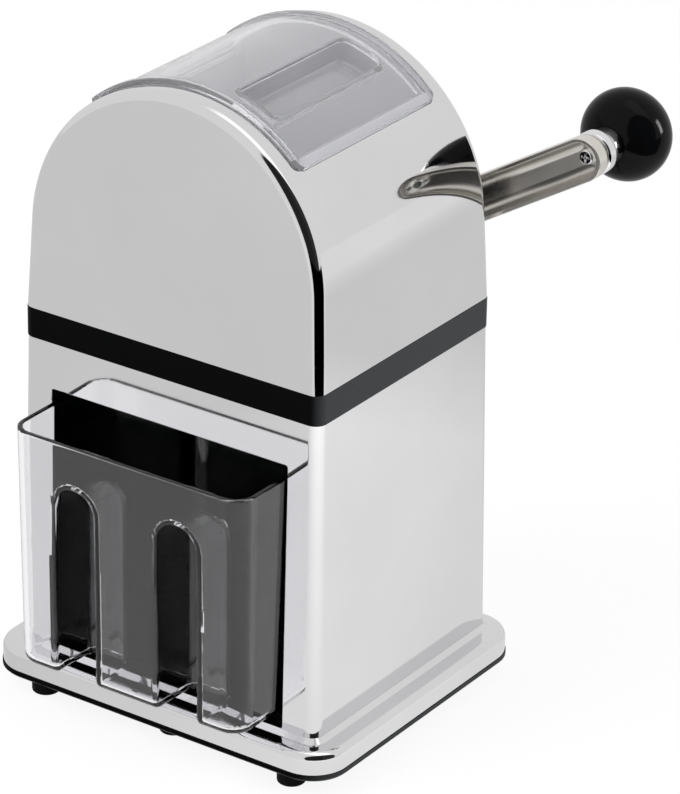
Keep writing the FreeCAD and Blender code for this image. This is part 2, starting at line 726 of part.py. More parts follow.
def lid_plan(r0, r1, half_angle, half_y, corner):
    """Sector with rounded corners at the free end and square ones at the hinge."""
    rounded = arch_sector(r0, r1, half_angle, half_y, corner)
    square = arch_sector(r0, r1, half_angle, half_y, 0)
    left = box(-BODY_W, 0, -BODY_D, BODY_D, 0, 2 * Z_TOP)
    return rounded.fuse(square.common(left)).removeSplitter()


def make_upper_housing():
    shell = arch_solid(0.0, ARCH_EDGE).cut(arch_solid(SHEET, ARCH_EDGE - SHEET))
    gap_angle = math.degrees(LID_GAP / ARCH_R)
    opening = lid_plan(ARCH_R - PAST, ARCH_R + PAST, LID_HALF_ANGLE + gap_angle,
                       LID_D / 2 + LID_GAP, LID_CORNER + LID_GAP)
    shell = shell.cut(opening)
    parts = [shell]
    for x, y in four(UPPER_SCREW_X, UPPER_SCREW_Y):
        sign = 1 if x > 0 else -1
        post = cylinder_z(SCREW_R + BOSS_WALL, x, y, Z_UPPER, Z_UPPER + UPPER_BOSS_H)
        reach = x + sign * UPPER_SCREW_IN_X
        web = box(min(x, reach), max(x, reach), y - UPPER_BOSS_WEB / 2,
                  y + UPPER_BOSS_WEB / 2, Z_UPPER, Z_UPPER + UPPER_BOSS_H)
        parts.append(post)
        parts.append(web.common(arch_solid(SHEET / 2, ARCH_EDGE - SHEET / 2)))
    body = fuse(parts)
    holes = [cylinder_y(BOSS_R + SEAT, 0, BODY_D)]
    for x, y in four(UPPER_SCREW_X, UPPER_SCREW_Y):
        holes.append(cylinder_z(SCREW_R + SCREW_GAP, x, y, Z_UPPER - 1,
                                Z_UPPER + UPPER_BOSS_H - UPPER_BOSS_ROOF))
    return cut(body, holes)


def make_housing_screws():
    screws = []
    for x, y in four(UPPER_SCREW_X, UPPER_SCREW_Y):
        screws.append(screw(SCREW_R, SCREW_HEAD_R, SCREW_HEAD_H, x, y, Z_BAND,
                            BAND_H + UPPER_BOSS_H / 2))
    return Part.makeCompound(screws)


def hinge_place():
    """Centre of the lid's hinge, at the lid's left end."""
    r = ARCH_R - KNUCKLE_R
    a = math.radians(LID_HALF_ANGLE) - KNUCKLE_R / r
    return -r * math.sin(a), Z_ARCH + r * math.cos(a)


def make_hopper():
    """Funnel from the lid opening down to the throat, with a lip under the arch."""
    z0 = Z_UPPER + THROAT_UP
    z1 = Z_TOP + 2.0
    corner = THROAT_CORNER + HOPPER_WALL
    low = (THROAT_W / 2 + HOPPER_WALL, THROAT_D / 2 + HOPPER_WALL, corner, z0)
    high = (HOPPER_TOP_W / 2 + HOPPER_WALL, HOPPER_TOP_D / 2 + HOPPER_WALL, corner, z1)
    low_in = (THROAT_W / 2, THROAT_D / 2, THROAT_CORNER, z0 - 0.01)
    high_in = (HOPPER_TOP_W / 2, HOPPER_TOP_D / 2, THROAT_CORNER, z1 + 0.01)
    funnel = drafted_block(low, high)
    r_out = ARCH_R - SHEET - SEAT
    r_in = r_out - HOPPER_LIP_T
    lip_angle = LID_HALF_ANGLE + math.degrees(HOPPER_LIP / ARCH_R)
    lip = arch_sector(r_in, r_out, lip_angle, HOPPER_TOP_D / 2 + HOPPER_LIP, 0)
    lip = lip.common(arch_solid(SHEET + SEAT, ARCH_EDGE - SHEET - SEAT))
    seat_angle = LID_HALF_ANGLE - math.degrees((LID_SEAT_W - LID_GAP) / ARCH_R)
    window = arch_sector(r_in - 1, r_out + 1, seat_angle,
                         LID_D / 2 - LID_SEAT_W + LID_GAP, 0)
    roof = cylinder_y(r_in + 0.5, -BODY_D, BODY_D, 0.0, Z_ARCH)
    roof = roof.fuse(box(-BODY_W, BODY_W, -BODY_D, BODY_D, Z_UPPER, Z_ARCH))
    shell = funnel.common(roof)
    body = shell.fuse(lip)
    room = drafted_block(low_in, high_in)
    body = body.cut(room).cut(window)
    hx, hz = hinge_place()
    y_end = LID_D / 2 + LID_GAP
    trough = cylinder_y(KNUCKLE_R + LID_GAP, -y_end, y_end, hx, hz)
    body = body.cut(trough)
    body = body.cut(cylinder_y(LID_PIN_R, -BODY_D, BODY_D, hx, hz))
    return body.removeSplitter()


def make_lid_pins():
    """Two short pins whose outer ends are held in the hopper's lip."""
    hx, hz = hinge_place()
    pins = []
    for sign in (-1, 1):
        y1 = sign * (LID_D / 2 + LID_PIN_REACH)
        y0 = y1 - sign * LID_PIN_L
        pins.append(cylinder_y(LID_PIN_R, min(y0, y1), max(y0, y1), hx, hz))
    return Part.makeCompound(pins)


def left_of_hinge(shift):
    """Everything on the lid's hinge side of the line through the hinge, moved by a shift."""
    hx, hz = hinge_place()
    side = box(-BODY_W, shift, -BODY_D, BODY_D, -Z_TOP, Z_TOP)
    side.rotate(Vector(0, 0, 0), Y_AXIS, -math.degrees(math.atan2(-hx, hz - Z_ARCH)))
    side.translate(Vector(hx, 0, hz))
    return side


def make_lid():
    r_seat = ARCH_R - SHEET
    body = lid_plan(r_seat, R_LID, LID_HALF_ANGLE, LID_D / 2, LID_CORNER)
    # Recess inside the raised rim, in two steps that stand for its sloping side
    for share, depth in ((0.0, LID_RECESS * 0.5), (1.0, LID_RECESS)):
        inset = LID_RIM_W + share * LID_SLOPE
        angle = LID_HALF_ANGLE - math.degrees(inset / ARCH_R)
        body = body.cut(arch_sector(R_LID - depth, R_LID + PAST, angle,
                                    LID_D / 2 - inset, LID_CORNER * 0.6))
    # Rib that keeps the lid in place inside the hopper's window
    seat_angle = LID_HALF_ANGLE - math.degrees(LID_SEAT_W / ARCH_R)
    rib_angle = seat_angle - math.degrees(LID_RIB_W / ARCH_R)
    seat_y = LID_D / 2 - LID_SEAT_W
    rib = arch_sector(r_seat - LID_RIB_H, r_seat + LID_RIB_H / 2, seat_angle, seat_y, 0)
    rib = rib.cut(arch_sector(r_seat - PAST, R_LID, rib_angle, seat_y - LID_RIB_W, 0))
    body = body.fuse(rib)
    # Finger pocket
    pocket = pocket_block(POCKET_W, POCKET_L, POCKET_DEPTH, POCKET_CORNER)
    cup = pocket_block(POCKET_W + 2 * POCKET_WALL, POCKET_L + 2 * POCKET_WALL,
                       POCKET_DEPTH + POCKET_WALL, POCKET_CORNER + POCKET_WALL)
    roof = cylinder_y(R_PANEL - LID_RECESS / 2, -BODY_D, BODY_D, 0.0, Z_ARCH)
    body = body.fuse(cup.common(roof)).cut(pocket)
    # The left end beyond the hinge's centre is the round knuckle alone, level with the arch
    hx, hz = hinge_place()
    above = cylinder_y(R_LID + PAST, -LID_D, LID_D, 0.0, Z_ARCH)
    above = above.cut(cylinder_y(ARCH_R, -LID_D, LID_D, 0.0, Z_ARCH))
    body = body.cut(above.common(left_of_hinge(KNUCKLE_R + LID_GAP)))
    body = body.cut(left_of_hinge(0.0))
    body = body.fuse(cylinder_y(KNUCKLE_R, -LID_D / 2, LID_D / 2, hx, hz))
    body = body.cut(cylinder_y(LID_PIN_R + RUNNING, -LID_D, LID_D, hx, hz))
    return body.removeSplitter()


def pocket_block(width, length, depth, corner):
    """Rounded block sunk square to the arch at the pocket's place."""
    r0 = R_PANEL - depth
    block = plan_block(width / 2, length / 2, corner, Z_ARCH + r0, Z_TOP + PAST)
    low = edges_at(block, lambda b: b.ZMax < Z_ARCH + r0 + 0.01)
    block = block.makeFillet(min(corner, depth) * 0.8, low)
    block.rotate(Vector(0, 0, Z_ARCH), Y_AXIS, POCKET_ANGLE)
    return block


# Crank and knob

def make_rear_collar():
    ring = cylinder_y(COLLAR_R, Y_BAND_BACK, Y_COLLAR)
    ring = ring.makeFillet(COLLAR_T * 0.6, edges_at(ring, lambda b: b.YMin > Y_COLLAR - 0.01))
    return ring.cut(cylinder_y(JOURNAL_R + COLLAR_BORE_GAP, Y_BAND_BACK - 1, Y_COLLAR + 1))


def slot_block(half_w, y0, y1):
    """Arm outline with round ends, along the crank's direction."""
    across = Vector(-ARM_Z * half_w, 0, ARM_X * half_w)
    along = Vector(ARM_X * half_w, 0, ARM_Z * half_w)
    start = Vector(0, y0, Z_AXIS)
    end = Vector(KNOB_X, y0, KNOB_Z)
    wire = Part.Wire([
        Part.LineSegment(start + across, end + across).toShape(),
        Part.Arc(end + across, end + along, end - across).toShape(),
        Part.LineSegment(end - across, start - across).toShape(),
        Part.Arc(start - across, start - along, start + across).toShape()])
    return Part.Face(wire).extrude(Vector(0, y1 - y0, 0))


def make_crank_arm():
    arm = slot_block(ARM_W / 2, Y_ARM, Y_WEB)
    arm = arm.makeFillet(ARM_BEND, edges_at(arm, lambda b: b.YMin > Y_WEB - 0.01))
    inner = slot_block(ARM_W / 2 - ARM_SHEET, Y_ARM - 1, Y_WEB - ARM_SHEET)
    inner = inner.makeFillet(ARM_BEND - ARM_SHEET,
                             edges_at(inner, lambda b: b.YMin > Y_WEB - ARM_SHEET - 0.01))
    arm = arm.cut(inner)
    hub = cylinder_y(ARM_W / 2 - ARM_SHEET / 2, Y_ARM, Y_WEB - ARM_SHEET)
    arm = arm.fuse(hub).removeSplitter()
    holes = [cylinder_y(JOURNAL_R + RUNNING, Y_ARM - 1, Y_WEB - ARM_SHEET),
             cylinder_y(STUB_R + RUNNING, Y_ARM, Y_WEB + 1),
             cylinder_y(KNOB_SCREW_R + RUNNING, Y_ARM, Y_WEB + 1, KNOB_X, KNOB_Z)]
    return cut(arm, holes)


def make_crank_nut():
    """Hexagon nut with a domed end on the shaft's stub."""
    points = []
    for i in range(7):
        a = math.radians(60 * i + CRANK_ANGLE)
        points.append(Vector(NUT_R * math.cos(a), Y_WEB, Z_AXIS + NUT_R * math.sin(a)))
    hexagon = Part.Face(Part.makePolygon(points)).extrude(Vector(0, NUT_H * 0.65, 0))
    dome_r = NUT_R * 0.84
    dome = cylinder_y(dome_r, Y_WEB + NUT_H * 0.65, Y_WEB + NUT_H)
    dome = dome.makeFillet(NUT_H * 0.33, edges_at(dome, lambda b: b.YMin > Y_WEB + NUT_H - 0.01))
    nut = hexagon.fuse(dome)
    return nut.cut(cylinder_y(STUB_R + RUNNING, Y_WEB - 1, Y_WEB + NUT_H * STUB_SHARE + RUNNING))


def make_knob_screw():
    """Pan head in the arm's channel, long shank through collar and knob."""
    y_face = Y_WEB - ARM_SHEET
    head = cylinder_y(KNOB_SCREW_HEAD_R, y_face - KNOB_SCREW_HEAD_H, y_face, KNOB_X, KNOB_Z)
    front = edges_at(head, lambda b: b.YMax < y_face - KNOB_SCREW_HEAD_H + 0.01)
    head = head.makeFillet(KNOB_SCREW_HEAD_H * 0.6, front)
    shank = cylinder_y(KNOB_SCREW_R, y_face, Y_FERRULE + KNOB_SCREW_DEPTH, KNOB_X, KNOB_Z)
    return head.fuse(shank)


def make_knob_washer():
    ring = cylinder_y(WASHER_R, Y_WEB, Y_WASHER, KNOB_X, KNOB_Z)
    ring = ring.makeFillet(WASHER_EDGE, edges_at(ring, lambda b: b.YMin > Y_WASHER - 0.01))
    return ring.cut(cylinder_y(KNOB_SCREW_R + RUNNING, Y_WEB - 1, Y_WASHER + 1, KNOB_X, KNOB_Z))


def make_knob_ferrule():
    y0 = Y_WASHER + KNOB_PLAY
    ring = cylinder_y(FERRULE_R, y0, Y_FERRULE, KNOB_X, KNOB_Z)
    ring = ring.makeFillet(FERRULE_EDGE, edges_at(ring, lambda b: b.YMax < y0 + 0.01))
    return ring.cut(cylinder_y(KNOB_SCREW_R + RUNNING, y0 - 1, Y_FERRULE + 1, KNOB_X, KNOB_Z))


def on_circle(centre_x, centre_y, radius, angle):
    return Vector(centre_x + radius * math.cos(angle), centre_y + radius * math.sin(angle), 0)


def make_knob():
    """Flattened ball turned about the screw, flat on the ferrule, with a blind bore."""
    side_x = KNOB_R - KNOB_SIDE_R
    end_y = KNOB_HALF_L - KNOB_END_R
    join = math.atan2(-end_y, side_x)
    face = -math.acos(KNOB_FACE_R / KNOB_END_R)
    front_join = on_circle(side_x, 0, KNOB_SIDE_R, -join)
    back_join = on_circle(side_x, 0, KNOB_SIDE_R, join)
    rim = Vector(KNOB_FACE_R, KNOB_FACE_Y, 0)
    tip = Vector(0, KNOB_HALF_L, 0)
    front = Part.Arc(rim, on_circle(0, -end_y, KNOB_END_R, (face - join) / 2), front_join)
    side = Part.Arc(front_join, Vector(KNOB_R, 0, 0), back_join)
    back = Part.Arc(back_join, on_circle(0, end_y, KNOB_END_R, (join + math.pi / 2) / 2), tip)
    bore_r = KNOB_SCREW_R + RUNNING
    y_bottom = KNOB_FACE_Y + KNOB_SCREW_DEPTH + KNOB_PLAY
    points = [tip, Vector(0, y_bottom, 0), Vector(bore_r, y_bottom, 0),
              Vector(bore_r, KNOB_FACE_Y, 0), rim]
    edges = [front.toShape(), side.toShape(), back.toShape()]
    for a, b in zip(points, points[1:]):
        edges.append(Part.LineSegment(a, b).toShape())
    ball = Part.Face(Part.Wire(edges)).revolve(Vector(0, 0, 0), Y_AXIS, 360)
    ball.translate(Vector(KNOB_X, Y_KNOB, KNOB_Z))
    return ball


def save(name, shape):
    placed = shape.copy()
    placed.translate(Vector(-FOOTPRINT_X, -FOOTPRINT_Y, 0))
    placed.exportStep("parts/" + name + ".step")
    print(name, "solids", len(placed.Solids), "valid", placed.isValid(),
          "volume", round(placed.Volume, 1))


def main():
    os.makedirs("parts", exist_ok=True)
    save("rubber_feet", make_feet())
    save("base_plate", make_base_plate())
    save("base_screws", make_base_screws())
    save("plinth", make_plinth())
    save("lower_housing", make_lower_housing())
    save("drawer_bay", make_drawer_bay())
    save("tie_screws", make_tie_screws())
    save("middle_band", make_middle_band())
    y_inner = Y_BAND_BACK - BUSH_L
    save("rear_bearing", make_bearing(y_inner, 1, JOURNAL_R + RUNNING, BUSH_L - SEAT))
    save("front_bearing", make_bearing(-y_inner, -1, FRONT_JOURNAL_R + RUNNING, BLIND_L - SEAT))
    save("comb_right", make_comb(1))
    save("comb_left", make_comb(-1))
    save("comb_screws", make_comb_screws())
    save("upper_housing", make_upper_housing())
    save("housing_screws", make_housing_screws())
    save("hopper", make_hopper())
    save("rear_collar", make_rear_collar())
    save("lid_pins", make_lid_pins())
    save("lid", make_lid())
    save("drawer", make_drawer())
    save("crank_shaft", make_crank_shaft())
    for index in range(CUTTERS):
        save("cutter_%d" % (index + 1), make_cutter(index))
    save("rotor_spacers", make_spacers())
    save("rotor_pin", make_rotor_pin())
    save("crank_arm", make_crank_arm())
    save("crank_nut", make_crank_nut())
    save("knob_screw", make_knob_screw())
    save("knob_washer", make_knob_washer())
    save("knob_ferrule", make_knob_ferrule())
    save("knob", make_knob())
    hx, hz = hinge_place()
    print("crank axis", round(-FOOTPRINT_X, 3), round(Z_AXIS, 3))
    print("knob axis", round(KNOB_X - FOOTPRINT_X, 3), round(KNOB_Z, 3))
    print("lid hinge", round(hx - FOOTPRINT_X, 3), round(hz, 3))
    print("footprint centre", round(FOOTPRINT_X, 3), round(FOOTPRINT_Y, 3))


main()
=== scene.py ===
"""Hand cranked ice crusher: finished skins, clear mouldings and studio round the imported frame."""

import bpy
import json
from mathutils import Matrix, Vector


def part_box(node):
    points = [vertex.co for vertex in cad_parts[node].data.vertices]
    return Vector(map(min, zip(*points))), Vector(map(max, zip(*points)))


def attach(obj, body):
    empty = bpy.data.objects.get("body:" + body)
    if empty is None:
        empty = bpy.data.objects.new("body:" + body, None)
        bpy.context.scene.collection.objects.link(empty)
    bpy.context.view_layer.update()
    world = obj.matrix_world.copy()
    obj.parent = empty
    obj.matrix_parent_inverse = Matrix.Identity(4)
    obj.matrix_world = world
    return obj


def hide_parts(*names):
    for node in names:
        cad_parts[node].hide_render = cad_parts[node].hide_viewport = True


bl_info = {
    "name": "Hand cranked ice crusher",
    "version": (1, 0, 0),
    "blender": (4, 5, 0),
    "location": "View3D > Sidebar > Crusher",
    "description": "Polished housings, clear lid and drawer, crank, fasteners and studio",
    "category": "Object",
}

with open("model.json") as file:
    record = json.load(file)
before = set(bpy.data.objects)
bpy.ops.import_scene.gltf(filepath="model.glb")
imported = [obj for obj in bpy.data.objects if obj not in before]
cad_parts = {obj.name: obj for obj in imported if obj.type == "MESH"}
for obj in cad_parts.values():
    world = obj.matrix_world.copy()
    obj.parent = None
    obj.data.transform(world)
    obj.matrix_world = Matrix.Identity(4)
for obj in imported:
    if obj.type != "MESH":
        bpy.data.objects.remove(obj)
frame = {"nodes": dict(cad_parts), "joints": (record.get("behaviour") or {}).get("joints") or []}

import json
import math

import bmesh
import bpy
import numpy as np
from bpy.props import FloatProperty, FloatVectorProperty
from mathutils import Matrix, Vector, geometry

MM = 0.001
WELD = 1e-7
HALF_TURN = math.pi
QUARTER = math.pi / 2

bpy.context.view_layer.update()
BODY_LOW, BODY_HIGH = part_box("upper_housing")
LOWER_LOW, LOWER_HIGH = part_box("lower_housing")
BAND_LOW, BAND_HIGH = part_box("middle_band")
PLATE_LOW, PLATE_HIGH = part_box("base_plate")
DRAWER_LOW, DRAWER_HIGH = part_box("drawer")
KNOB_LOW, KNOB_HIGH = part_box("knob")
WASHER_LOW, WASHER_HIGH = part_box("knob_washer")
FERRULE_LOW, FERRULE_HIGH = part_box("knob_ferrule")
ARM_LOW, ARM_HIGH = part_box("crank_arm")
COLLAR_LOW, COLLAR_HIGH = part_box("rear_collar")
NUT_LOW, NUT_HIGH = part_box("crank_nut")
JOINTS = {joint["name"]: joint for joint in frame["joints"]}

CENTRE_X = (LOWER_LOW.x + LOWER_HIGH.x) / 2
CENTRE_Y = (LOWER_LOW.y + LOWER_HIGH.y) / 2
AXIS_Z = JOINTS["crank_spin"]["pos_m"][2]
KNOB_AXIS = Vector(JOINTS["knob_spin"]["pos_m"])

BODY_W = BODY_HIGH.x - BODY_LOW.x
BODY_D = BODY_HIGH.y - BODY_LOW.y
Z_PLINTH = PLATE_HIGH.z
Z_LOWER = LOWER_LOW.z
Z_BAND = LOWER_HIGH.z
Z_UPPER = BODY_LOW.z
Z_TOP = BODY_HIGH.z
SHEET = 1.5 * MM

# Small sizes of the plinth and base plate
PLINTH_INSET = 0.3 * MM
PLATE_BEVEL = 1.0 * MM
PLATE_GROOVE = 0.25 * MM
SINK_RADIUS = 3.1 * MM
SINK_PLAY = 0.1 * MM

# Band, its deck and its bearing bosses
BAND_EDGE = 0.4 * MM
BAND_WALL = 4.5 * MM
BAND_DECK = 3.0 * MM
THROAT_HALF_W = 28 * MM
THROAT_HALF_D = 43 * MM
BOSS_RADIUS = 12.5 * MM
BOSS_NOTCH = 12.65 * MM
BOSS_LENGTH = 8 * MM
FRONT_BOSS_INSET = 3 * MM

# Crank fittings and knob
ARM_LIP = 0.3 * MM
HUB_PLAY = 0.2 * MM
SCREW_BORE = 2.6 * MM
SHAFT_BORE = 7.0 * MM
NUT_RADIUS = 6.8 * MM
KNOB_SCREW_R = 2.5 * MM
KNOB_SCREW_HEAD_R = 3.4 * MM
KNOB_SCREW_HEAD_H = 2.4 * MM
KNOB_HALF = 15.1 * MM
KNOB_SIDE_R = 13.6 * MM
KNOB_FACE_R = 7.8 * MM

# Screws
SCREW_HEAD = 1.8 * MM
SCREW_SHANK = 1.6 * MM
TIE_SHANK = 2.0 * MM

# Drawer moulding, in millimetres; the tunnels get smaller towards their ends
DRAWER_DRAFT = 0.01
DRAWER_FOOT_ROUND = 3.5
DRAWER_RIM_ROUND = 0.5
TUNNEL_TAPER = 1.0
TUNNEL_DROP = 4.4
TUNNEL_END_ROUND = 6.0
TUNNEL_EDGE_ROUND = 1.5

# Lid moulding, in millimetres
SHARP_CORNER = 0.01
LID_EDGE_ROUND = 0.45
LID_EDGE_LEAN = 0.5
POCKET_SLOPE = 2.6
HINGE_BORE = 0.95

# What the polish mirrors. Turns in degrees from straight ahead to the right; the strip and the dark
# patch end at these cosines, the table's glow at these distances in metres, its dark part at a slope.
STRIP_TURN = 170
STRIP_EDGE = (0.20, 0.28)
STRIP_END = (-0.3, -0.1)
DARK_TURN = 56
DARK_RISE = 18
DARK_EDGE = (0.74, 0.77)
TABLE_TURN = 68
TABLE_RISE = (-0.15, 0.30)
TABLE_FADE = (0.30, 0.46)
TABLE_END = (0.305, 0.32)
TABLE_SPREAD = (1.12, 1.22)

# Camera place in millimetres from the body's centre line
CAMERA_PLACE = (910.3, -1271.8, 875.7)


# Drawing helpers


def arc(centre_u, centre_v, radius, start, end, steps):
    """Points of a round stretch with the direction that faces outwards at each."""
    points = []
    for i in range(steps + 1):
        angle = start + (end - start) * i / steps
        c, s = math.cos(angle), math.sin(angle)
        points.append((centre_u + radius * c, centre_v + radius * s, c, s))
    return points


def straight(u0, v0, u1, v1):
    """A straight stretch whose outside is on the right of its direction."""
    length = math.hypot(u1 - u0, v1 - v0)
    a, b = (v1 - v0) / length, -(u1 - u0) / length
    return [(u0, v0, a, b), (u1, v1, a, b)]


class Skin:
    """Collects faces with their exact normals, so that polished metal reflects without dents."""

    def __init__(self):
        self.points = []
        self.found = {}
        self.faces = []
        self.normals = []

    def point(self, place):
        key = tuple(round(value / WELD) for value in place)
        if key not in self.found:
            self.found[key] = len(self.points)
            self.points.append(tuple(place))
        return self.found[key]

    def face(self, corners, normals):
        ids = []
        kept = []
        for corner, normal in zip(corners, normals):
            number = self.point(corner)
            if number not in ids:
                ids.append(number)
                kept.append(Vector(normal).normalized())
        if len(ids) < 3:
            return
        facing = geometry.normal([Vector(self.points[number]) for number in ids])
        if facing.dot(sum(kept, Vector())) < 0:
            ids.reverse()
            kept.reverse()
        self.faces.append(ids)
        self.normals.extend(tuple(normal) for normal in kept)

    def grid(self, rows, closed=False, skip=()):
        """Rows of (point, normal); neighbouring rows are joined by quads."""
        for low, high in zip(rows, rows[1:]):
            count = len(low)
            for i in range(count if closed else count - 1):
                if i in skip:
                    continue
                j = (i + 1) % count
                corners = [low[i], low[j], high[j], high[i]]
                self.face([c[0] for c in corners], [c[1] for c in corners])

    def flat(self, outline, normal, holes=()):
        """Flat face, cut into triangles where it has holes."""
        if not holes:
            self.face(outline, [normal] * len(outline))
            return
        normal = Vector(normal).normalized()
        across = normal.orthogonal().normalized()
        up = normal.cross(across)
        loops = [outline] + list(holes)
        points = []
        edges = []
        for loop in loops:
            start = len(points)
            points += [Vector(place) for place in loop]
            edges += [(start + i, start + (i + 1) % len(loop)) for i in range(len(loop))]
        flat_points = [Vector((p.dot(across), p.dot(up))) / MM for p in points]
        result = geometry.delaunay_2d_cdt(flat_points, edges, [], 0, 1e-6)
        verts, triangles, origin = result[0], result[2], result[3]
        flat_loops = []
        start = 0
        for loop in loops:
            flat_loops.append(flat_points[start:start + len(loop)])
            start += len(loop)
        for triangle in triangles:
            middle = sum((verts[i] for i in triangle), Vector((0, 0))) / 3
            inside = sum(is_inside(middle, loop) for loop in flat_loops)
            if inside == 1:
                corners = [points[origin[i][0]] for i in triangle]
                self.face(corners, [normal] * 3)

    def piece(self, name):
        mesh = bpy.data.meshes.new(name)
        mesh.from_pydata(self.points, [], self.faces)
        mesh.shade_smooth()
        mesh.normals_split_custom_set(self.normals)
        return link(name, mesh)


def is_inside(point, loop):
    inside = False
    for a, b in zip(loop, loop[1:] + loop[:1]):
        if (a.y > point.y) != (b.y > point.y):
            if point.x < (b.x - a.x) * (point.y - a.y) / (b.y - a.y) + a.x:
                inside = not inside
    return inside


def link(name, mesh):
    piece = bpy.data.objects.new(name, mesh)
    bpy.context.scene.collection.objects.link(piece)
    return piece


def finish_piece(piece, material, body, slot, *nodes):
    """Gives a piece its finish and its body, and hides the frame nodes that it takes the place of."""
    piece.data.materials.clear()
    piece.data.materials.append(material)
    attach(piece, body)
    if nodes:
        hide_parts(*nodes)
    return piece


def plan_ring(half_x, half_y, radius, steps=12):
    """Rounded rectangle about the housing's centre: (x, y, outward x, outward y)."""
    ring = []
    for corner in range(4):
        sign_x = 1 if corner < 2 else -1
        sign_y = 1 if corner in (1, 2) else -1
        start = (corner - 1) * QUARTER
        for x, y, a, b in arc(sign_x * (half_x - radius), sign_y * (half_y - radius), radius,
                              start, start + QUARTER, steps):
            ring.append((CENTRE_X + x, CENTRE_Y + y, a, b))
    return ring


def plan_rows(profile, halves, radius, inward=False):
    """Rings of a profile of (inset, height, outward, upward) round a rounded plan."""
    rows = []
    for inset, z, out, up in profile:
        half_x, half_y = halves(z)
        ring = plan_ring(half_x - inset, half_y - inset, max(radius - inset, 0.2 * MM))
        sign = -1 if inward else 1
        rows.append([(Vector((x, y, z)), Vector((sign * out * a, sign * out * b, up)))
                     for x, y, a, b in ring])
    return rows


def ring_points(row):
    return [place for place, normal in row]


def turned(skin, stretches, centre, direction, steps=64):
    """Surface of revolution from stretches of (radius, height, outward, upward)."""
    axis = Vector(direction).normalized()
    across = axis.orthogonal().normalized()
    side = axis.cross(across)
    for stretch in stretches:
        rows = []
        for radius, height, out, up in stretch:
            row = []
            for i in range(steps):
                angle = 2 * math.pi * i / steps
                spoke = across * math.cos(angle) + side * math.sin(angle)
                row.append((Vector(centre) + axis * height + spoke * radius,
                            spoke * out + axis * up))
            rows.append(row)
        skin.grid(rows, closed=True)


def disc(skin, centre, direction, radius, facing, steps=64):
    """Flat end of a turned piece, on the same points as its last ring."""
    axis = Vector(direction).normalized()
    across = axis.orthogonal().normalized()
    side = axis.cross(across)
    points = []
    for i in range(steps):
        angle = 2 * math.pi * i / steps
        points.append(Vector(centre) + (across * math.cos(angle) + side * math.sin(angle)) * radius)
    skin.flat(points, axis * facing)
    return points


# Materials


def shader(name):
    material = bpy.data.materials.new(name)
    material.use_nodes = True
    return material, material.node_tree, material.node_tree.nodes["Principled BSDF"]


def add(tree, kind, **values):
    """Adds a node; a value goes to the input of that name, or else to the node's property."""
    node = tree.nodes.new(kind)
    for key, value in values.items():
        label = key.replace("_", " ").title()
        if label in node.inputs:
            node.inputs[label].default_value = value
        else:
            setattr(node, key, value)
    return node


def object_noise(tree, scale, detail, stretch=(1, 1, 1)):
    coordinates = add(tree, "ShaderNodeTexCoord")
    mapping = add(tree, "ShaderNodeMapping", scale=stretch)
    noise = add(tree, "ShaderNodeTexNoise", scale=scale, detail=detail)
    tree.links.new(coordinates.outputs["Object"], mapping.inputs["Vector"])
    tree.links.new(mapping.outputs["Vector"], noise.inputs["Vector"])
    return noise


def map_range(tree, source, low, high, start=0.3, end=0.7):
    node = add(tree, "ShaderNodeMapRange")
    node.inputs["From Min"].default_value = start
    node.inputs["From Max"].default_value = end
    node.inputs["To Min"].default_value = low
    node.inputs["To Max"].default_value = high
    tree.links.new(source, node.inputs["Value"])
    return node.outputs["Result"]


def bump(tree, bsdf, source, strength, distance):
    node = add(tree, "ShaderNodeBump", strength=strength, distance=distance)
    tree.links.new(source, node.inputs["Height"])
    tree.links.new(node.outputs["Normal"], bsdf.inputs["Normal"])


def two_tones(tree, bsdf, source, first, second):
    """Base colour drifts between two close tones."""
    mix = add(tree, "ShaderNodeMix", data_type="RGBA")
    mix.inputs[6].default_value = (*first, 1)
    mix.inputs[7].default_value = (*second, 1)
    tree.links.new(source, mix.inputs[0])
    tree.links.new(mix.outputs[2], bsdf.inputs["Base Color"])


def drifting(tree, bsdf, noise, tone, shades, roughness):
    """Colour and roughness that drift together between two shades and two roughnesses."""
    drift = map_range(tree, noise.outputs["Fac"], 0, 1)
    first, second = [tuple(value * shade for value in tone) for shade in shades]
    two_tones(tree, bsdf, drift, first, second)
    rough = map_range(tree, noise.outputs["Fac"], *roughness)
    tree.links.new(rough, bsdf.inputs["Roughness"])


def polished_chrome(name, tone, roughness=0.05, waviness=0.02):
    material, tree, bsdf = shader(name)
    bsdf.inputs["Metallic"].default_value = 1
    clouds = object_noise(tree, 14, 4)
    drifting(tree, bsdf, clouds, tone, (0.93, 1), (roughness * 0.7, roughness * 1.4))
    waves = object_noise(tree, 22, 1)
    bump(tree, bsdf, waves.outputs["Fac"], waviness, 0.4 * MM)
    return material


def machined_steel(name, tone, roughness, stretch):
    material, tree, bsdf = shader(name)
    bsdf.inputs["Metallic"].default_value = 1
    grain = object_noise(tree, 900, 3, stretch)
    drifting(tree, bsdf, grain, tone, (0.8, 1), (roughness * 0.8, roughness * 1.3))
    bump(tree, bsdf, grain.outputs["Fac"], 0.08, 0.05 * MM)
    return material


def dark_plastic(name, tone, roughness, grain_size, grain_depth, shine=0.5):
    material, tree, bsdf = shader(name)
    bsdf.inputs["Specular IOR Level"].default_value = shine
    grain = object_noise(tree, grain_size, 3)
    drifting(tree, bsdf, grain, tone, (1, 1.25), (roughness * 0.85, roughness * 1.2))
    bump(tree, bsdf, grain.outputs["Fac"], grain_depth, 0.05 * MM)
    return material


def clear_plastic(name, tone, clarity, roughness=0.015):
    material, tree, bsdf = shader(name)
    bsdf.inputs["Transmission Weight"].default_value = clarity
    bsdf.inputs["IOR"].default_value = 1.49
    clouds = object_noise(tree, 9, 2)
    drifting(tree, bsdf, clouds, tone, (0.985, 1), (roughness * 0.6, roughness * 1.5))
    return material


